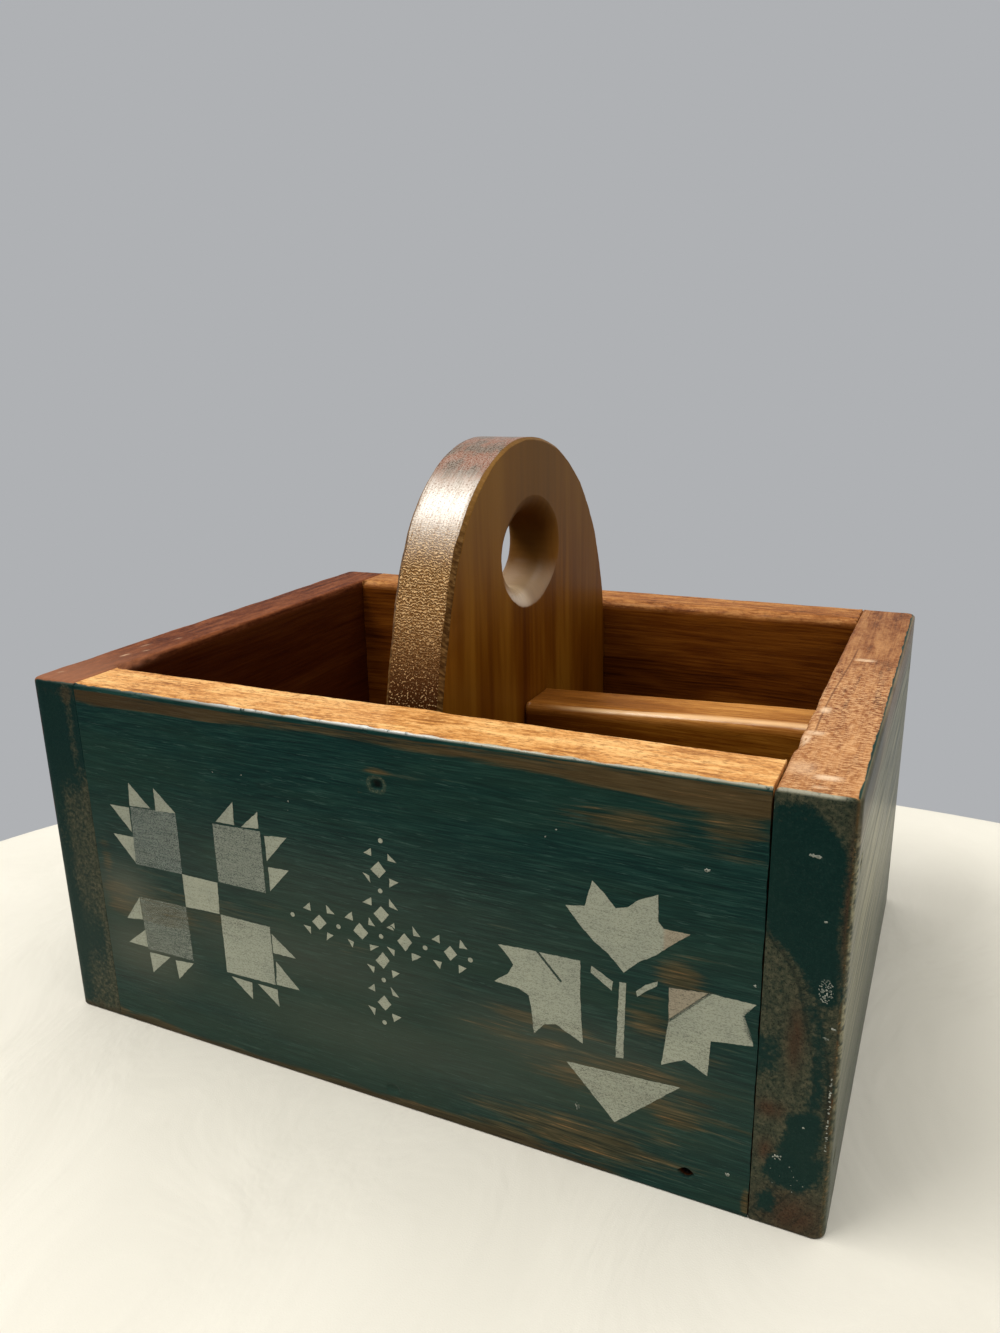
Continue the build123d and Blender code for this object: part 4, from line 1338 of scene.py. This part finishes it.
def turnOutward(piece):
    # turns the faces round where they point inward
    shape = bmesh.new()
    shape.from_mesh(piece.data)
    if shape.calc_volume(signed=True) < 0:
        bmesh.ops.reverse_faces(shape, faces=shape.faces[:])
        shape.to_mesh(piece.data)
    shape.free()


def handleWood():
    # varnished faces, painted darker low down and with a pale sheen high up; a sawn band round the edge that
    # is worn pale and painted with a highlight at the top, dark low down as painted shade; a slanted trim
    # beside it
    finish = Finish("handleWood")
    place = finish.place()
    x, y, z = finish.axes(place)
    tones = handleTones
    grain = woodGrain(finish, place, "Z", (70.0, -20.0), 5.5, 6.0, 7.0)
    wide = finish.noise(finish.scaled(place, (0.02, 0.05, 0.008)), 1.0, 3.0, 0.5)
    soft = grain["drawn"](0.3, 0.012, 2.0, 0.5)
    amount = wide.over(0.34, 0.66) * 0.75 + soft.over(0.3, 0.7) * 0.3 + (grain["fibre"] - 0.5) * 0.2
    face = finish.ramp(amount, [(0.0, tones["faceDark"]), (0.5, tones["face"]), (1.0, tones["faceLight"])])
    # darker low down, painted shade; greyer and paler high up, painted sheen
    face = finish.blend((1 - z.over(112.0, 150.0)) * 0.35, face, tones["faceLowShade"])
    face = finish.blend(z.over(124.0, 182.0) * 0.6, face, tones["faceTopSheen"])
    face = finish.blend(y.over(10.0, 60.0) * z.over(110.0, 140.0) * 0.35, face, tones["faceBack"])
    face = finish.blend(grain["thread"].over(0.6, 0.76) * 0.12, face, tones["thread"])
    band, bore, cut = (finish.attribute(key) for key in ("band", "bore", "cut"))
    run = finish.attribute("bandPlace", vector=True)        # along the band and across it, mm
    along = finish.axes(run)[0]

    def onEdge(scale, detail, rough):
        return finish.noise(finish.scaled(run, (*scale, 1.0)), 1.0, detail, rough)

    # the sawn edge: short wavy ridges across the band, gold on their crests
    warp, jitter = onEdge((0.36, 0.62), 2.0, 0.5), onEdge((1.0, 1.4), 1.0, 0.5)
    ridge = ((along * 1.1 + warp * 2.6 + jitter * 1.7) * 6.2832).wave() * 0.5 + 0.5
    broken = onEdge((1.0, 0.8), 2.0, 0.6).over(0.32, 0.55)
    crumbs, brushed = onEdge((1.7, 1.5), 2.0, 0.6), onEdge((0.10, 1.9), 4.0, 0.7)
    top = z.over(156.0, 176.0)
    low = 1 - z.over(119.0, 148.0)
    # gold glitter low on the band: painted glints
    glitter = crumbs.over(0.56, 0.64)
    wrinkle = ridge * (0.3 + broken * 0.7) * (1 - low * 0.85) + glitter * low * 0.8
    relief = wrinkle * (1 - top) + (brushed * 0.3 + crumbs * 0.3) * top
    edge = finish.ramp(wrinkle, [(0.05, tones["ridgeDark"]), (0.45, tones["ridge"]),
                                 (1.0, tones["ridgeLight"])])
    # pale at the top of the band: worn, and painted with the lamp's highlight
    worn = finish.ramp(brushed * 0.6 + crumbs * 0.4, [(0.36, tones["wornSheenDark"]), (0.56, tones["wornSheenLight"])])
    worn = finish.blend((1 - crumbs.over(0.3, 0.48)) * 0.6, worn, tones["crumb"])
    red = z.over(177.0, 185.0) * (0.7 + crumbs.over(0.42, 0.6) * 0.3)
    patches = onEdge((0.12, 0.16), 4.0, 0.65).over(0.4, 0.58)
    worn = finish.blend(red, worn, finish.blend(patches, tones["crestDark"], tones["crestRed"]))
    edge = finish.blend(top, edge, worn)
    # dark low on the band: painted shade
    edge = finish.blend(low * (1 - glitter) * 0.92, edge, tones["low"])
    onBand = band.over(0.45, 0.75) * (1 - cut.over(0.3, 0.7))

    slanted = finish.vector(x * 0.4, (y - z) * 0.30, (y + z) * 0.95)
    hatch = finish.noise(slanted, 1.0, 2.0, 0.55)
    slant = finish.ramp(hatch, [(0.34, tones["cutDark"]), (0.5, tones["cut"]), (0.66, tones["cutLight"])])
    slant = finish.blend(z.over(162.0, 180.0) * 0.75, slant, face)
    colour = finish.blend(onBand, face, edge)
    colour = finish.blend(cut.over(0.3, 0.7), colour, slant)
    colour = finish.blend(bore.over(0.3, 0.9) * 0.75, colour, tones["bore"])
    # a pale patch low in the hole, towards the front: painted highlight
    lip = bore.over(0.1, 0.5) * (1 - z.over(140.0, 149.0)) * y.over(-7.0, 1.0, 1.0, 0.4)
    colour = finish.blend(lip * 0.9, colour, tones["lip"])

    normal = finish.bump(grain["fibre"] * 0.5 + grain["thread"] * 0.5, 0.03)
    normal = finish.bump(relief * onBand + hatch * cut * (1 - top) * 0.5, 0.34, normal)
    rough = 0.45 + (grain["cloud"] - 0.5) * 0.1 - top * onBand * 0.12 + bore * 0.3 - lip * 0.4
    gloss = (0.04 + onBand * ((1 - low) * 0.1 + top * (0.7 - red * 0.6))) * (1 - bore) + lip * 0.9
    return finish.surface({"Base Color": colour, "Roughness": rough, "Coat Weight": gloss, "Normal": normal},
                          varnish)


handleBoard = buildHandle()
throughTree(handleBoard, rubbedTree, {**rubbed, "Seed": 8.0}, handleWood())
keepInside(handleBoard, *(np.array(corner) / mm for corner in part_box("handle_board")))
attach(handleBoard, "root")
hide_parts("handle_board")
print("handle", len(handleBoard.data.polygons))


# divider
divider = {
    "node": "divider_board", "step": (1.6, 1.2, 2.4), "tops": (1.6, 0.5, 3.6, 1.6), "seed": 9,
    "ends": (0.0, 0.12, 0.3, 0.6, 1.0, 1.5, 2.0, 2.6, 3.3, 4.2),      # mm, grid lines near an edge
    "corners": {(-1, -1): 1.4, (-1, 1): 0.4, (1, -1): 0.4, (1, 1): 0.4},
    "lift": 0.8,        # mm, how much higher its whole top is than the CAD part's
    "rise": 3.9,        # mm, how much higher its top is at the right end than at the left
    "riseFrom": 60.0,   # mm up, below which nothing is raised
    # the top's tones are lighter than the faces': painted light on the top
    "litTopTones": (tone(96, 52, 12), tone(150, 92, 34), tone(206, 146, 74)),
    "shadedSideTones": (tone(70, 32, 2), tone(118, 64, 8), tone(172, 112, 36)),
    "pore": tone(78, 38, 10), "edge": tone(252, 206, 148),
}


def dividerWood():
    # warm varnished wood, painted lighter on its top than on its faces, with a painted highlight on the
    # rounding at the top
    finish = Finish("dividerWood")
    place = finish.place()
    x, y, z = finish.axes(place)
    grain = woodGrain(finish, place, "X", (40.0, 60.0), 9.0, 3.2)
    rise = (x - 9.5).over(0.0, 98.5, 0.0, 1.0) * divider["rise"]
    below = 102.0 + divider["lift"] + rise - z
    amount = grain["fibre"].over(0.28, 0.74) * 0.4 + grain["cloud"].over(0.3, 0.7) * 0.3
    # darker near the handle and lighter to the right: the handle's shadow, painted
    amount = amount + x.over(10.0, 100.0) * 0.3
    top, side = (finish.ramp(amount, list(zip((0.0, 0.5, 1.0), divider[key])))
                 for key in ("litTopTones", "shadedSideTones"))
    # lighter on its top than on its faces: painted light
    colour = finish.blend(below.over(1.5, 4.5), top, side)
    colour = finish.blend(grain["pore"] * 0.4, colour, divider["pore"])
    # the front rounding carries a painted highlight and keeps its gloss
    front = 1 - y.over(-8.6, -5.0)
    frontHighlight = front * below.over(0.0, 0.35) * (1 - below.over(0.7, 1.7)) * x.over(14.0, 40.0)
    colour = finish.blend(frontHighlight * 0.9, colour, divider["edge"])
    height = grain["fibre"] * 0.5 + grain["thread"] * 0.3 - grain["pore"] * 0.4
    rough = 0.36 + (grain["cloud"] - 0.5) * 0.12
    gloss = 0.02 + front * below.over(0.0, 0.4) * (1 - below.over(0.8, 2.2)) * 0.55
    normal = finish.bump(height, 0.05)
    return finish.surface({"Base Color": colour, "Roughness": rough, "Coat Weight": gloss, "Normal": normal},
                          {"Coat Roughness": 0.2, "Coat IOR": 1.5, "Specular IOR Level": 0.03})


def buildDivider():
    low, high = (np.array(corner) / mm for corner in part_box(divider["node"]))
    high[0] -= 0.05
    lines = [spacedLines(low[i], high[i], divider["step"][i], (), divider["ends"]) for i in range(3)]
    points, quads = boxGrid(*lines)
    points = easeBox(points, low, high, divider["corners"], divider["tops"], divider["seed"], 0.12, 0.3)
    along = (points[:, 0] - low[0]) / (high[0] - low[0])
    up = np.clip((points[:, 2] - divider["riseFrom"]) / (high[2] - divider["riseFrom"]), 0, 1)
    still = 1 - np.clip((points[:, 2] - 94) / 4, 0, 1)
    points[:, 2] += up * (divider["lift"] + along * divider["rise"])
    piece = makePiece("dividerBoard", points, quads, {"still": still})
    throughTree(piece, rubbedTree, {**rubbed, "Seed": 9.0}, dividerWood())
    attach(piece, "root")
    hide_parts(divider["node"])
    print("divider", len(piece.data.polygons))


buildDivider()

# bottom and nails, which keep the shape of the CAD
bottom = {
    "pith": (0.0, -70.0), "seed": 6.0, "ringWidth": 3.2,
    "dark": tone(60, 26, 8), "middle": tone(104, 54, 18), "light": tone(140, 84, 36),
    "stain": tone(122, 52, 24),
}
nails = {
    "nodes": ("corner_nails", "handle_nails", "bottom_nails", "divider_nails"),
    "iron": tone(18, 15, 13), "brown": tone(40, 30, 24), "rust": tone(76, 52, 36),
}


def bottomWood():
    # stained and varnished
    finish = Finish("bottomWood")
    place = finish.place()
    seed = bottom["seed"]
    grain = woodGrain(finish, place, "X", bottom["pith"], seed, bottom["ringWidth"])
    amount = grain["fibre"].over(0.28, 0.74) * 0.5 + grain["cloud"].over(0.32, 0.7) * 0.6
    amount = amount - grain["late"] * 0.15
    colour = finish.ramp(amount, [(0.0, bottom["dark"]), (0.45, bottom["middle"]), (1.0, bottom["light"])])
    stain = finish.noise(finish.added(place, (seed, 40.0, 11.0)), 0.035, 3.0, 0.6).over(0.45, 0.75)
    colour = finish.blend(stain * 0.4, colour, bottom["stain"])
    colour = finish.blend(grain["pore"] * 0.5, colour, bottom["dark"])
    height = grain["fibre"] * 0.5 + grain["thread"] * 0.3 - grain["pore"] * 0.4
    rough = 0.4 + (grain["cloud"] - 0.5) * 0.12
    return finish.surface({"Base Color": colour, "Roughness": rough, "Normal": finish.bump(height, 0.06)},
                          {**varnish, "Coat Weight": 0.3})


def nailSteel():
    # dull iron, rusty in places
    finish = Finish("nailSteel")
    rust = finish.noise(finish.place(), 0.9, 4.0, 0.65)
    colour = finish.ramp(rust, [(0.35, nails["iron"]), (0.55, nails["brown"]), (0.75, nails["rust"])])
    rough = rust.over(0.3, 0.7, 0.4, 0.75)
    metal = 1 - rust.over(0.4, 0.7) * 0.7
    return finish.surface({"Base Color": colour, "Roughness": rough, "Metallic": metal,
                           "Normal": finish.bump(rust, 0.06)})


def dress(node, material):
    # gives a CAD node its material
    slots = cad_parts[node].data.materials
    slots.clear()
    slots.append(material)


dress("bottom_board", bottomWood())
steel = nailSteel()
for nailNode in nails["nodes"]:
    dress(nailNode, steel)
print("bottom and nails")


# table, backdrop and light
stage = {
    "middle": (110.0, -70.0), "reach": (400.0, 274.0), "drop": 340.0, "edgeRound": 16.0,        # mm
    "steps": 180, "folds": 13,
    "cloth": tone(234, 230, 217), "crease": tone(229, 225, 212), "wall": tone(175, 177, 180),
    "room": (1.0, 0.99, 0.97), "lamp": (1.0, 0.98, 0.95),
}
# in metres and watts
lamps = {
    "ceilingLight": {"place": (-0.85, -0.6, 2.2), "aim": (0.0, 0.0, 0.08), "size": (1.2, 0.6), "power": 26.0},
    "softCeiling": {"place": (0.1, 0.0, 1.5), "aim": (0.1, -0.1, 0.0), "size": (2.2, 2.0), "power": 21.0},
}


def buildTable():
    # an oval table under a plain pale cloth that hangs over its edge in folds
    roundEdge, (cx, cy), (reachX, reachY) = stage["edgeRound"], stage["middle"], stage["reach"]
    rings = [(-inset, 0.0) for inset in np.linspace(reachY, roundEdge, 36)[1:]]
    for a in np.linspace(0, math.pi / 2, 9)[1:]:
        rings.append((-roundEdge * (1 - math.sin(a)), -roundEdge * (1 - math.cos(a))))
    rings += [(10 * t, -roundEdge - (stage["drop"] - roundEdge) * t) for t in np.linspace(0, 1, 12)[1:]]
    steps = stage["steps"]
    points, faces = [(cx, cy, 0.0)], []
    for out, z in rings:
        for k in range(steps):
            a = 2 * math.pi * k / steps
            fold = 1 + 0.02 * math.sin(a * stage["folds"]) * max(0.0, -z - 16) / 300
            share = 1 + out / reachY
            points.append((cx + reachX * share * fold * math.cos(a),
                           cy + reachY * share * fold * math.sin(a), z))
    faces += [(0, 1 + k, 1 + (k + 1) % steps) for k in range(steps)]
    for r in range(len(rings) - 1):
        a, b = 1 + r * steps, 1 + (r + 1) * steps
        faces += [(a + k, b + k, b + (k + 1) % steps, a + (k + 1) % steps) for k in range(steps)]
    table = makePiece("table", points, faces)
    finish = Finish("cloth")
    place = finish.place()
    weave = finish.noise(finish.scaled(place, (2.2, 2.2, 2.2)), 1.0, 2.0, 0.6)
    crease = finish.noise(finish.scaled(place, (0.02, 0.012, 0.02)), 1.0, 4.0, 0.55, 0.8)
    # darker in the hollows of the creases: painted shade
    colour = finish.blend(crease.over(0.3, 0.7), stage["crease"], stage["cloth"])
    normal = finish.bump(crease, 3.0)
    normal = finish.bump(weave, 0.06, normal)
    table.data.materials.append(finish.surface({"Base Color": colour, "Normal": normal},
                                               {"Roughness": 0.9, "Specular IOR Level": 0.15}))


def lightScene():
    # a soft room that is brighter above, a plain backdrop, and two lamps
    world = bpy.data.worlds.new("room")
    bpy.context.scene.world = world
    world.use_nodes = True
    world.node_tree.nodes.clear()
    node = partial(addNode, world.node_tree)
    way = node("ShaderNodeTexCoord").outputs["Generated"]
    height = node("ShaderNodeSeparateXYZ", None, {0: way}).outputs["Z"]
    strength = node("ShaderNodeMapRange", None, {0: height, 1: -0.25, 2: 0.5, 3: 0.06, 4: 0.34}).outputs[0]
    room = node("ShaderNodeBackground", None, {"Color": stage["room"], "Strength": strength})
    wall = node("ShaderNodeBackground", None, {"Color": stage["wall"], "Strength": 1.0})
    rays = node("ShaderNodeLightPath").outputs
    plain = rays["Is Camera Ray"]      # the plain backdrop, also in glossy and clear surfaces
    for ray in ("Is Glossy Ray", "Is Transmission Ray"):
        plain = node("ShaderNodeMath", {"operation": "MAXIMUM"}, {0: plain, 1: rays[ray]}).outputs[0]
    mix = node("ShaderNodeMixShader", None, {0: plain, 1: room.outputs[0], 2: wall.outputs[0]})
    node("ShaderNodeOutputWorld", None, {"Surface": mix.outputs[0]})

    for name, lamp in lamps.items():
        data = bpy.data.lights.new(name, "AREA")
        data.shape, (data.size, data.size_y) = "RECTANGLE", lamp["size"]
        data.energy, data.color = lamp["power"], stage["lamp"]
        holder = bpy.data.objects.new(name, data)
        bpy.context.scene.collection.objects.link(holder)
        holder.location = lamp["place"]
        aim = Vector(lamp["aim"]) - Vector(lamp["place"])
        holder.rotation_euler = aim.to_track_quat("-Z", "Y").to_euler()


buildTable()
lightScene()
print("table and light")
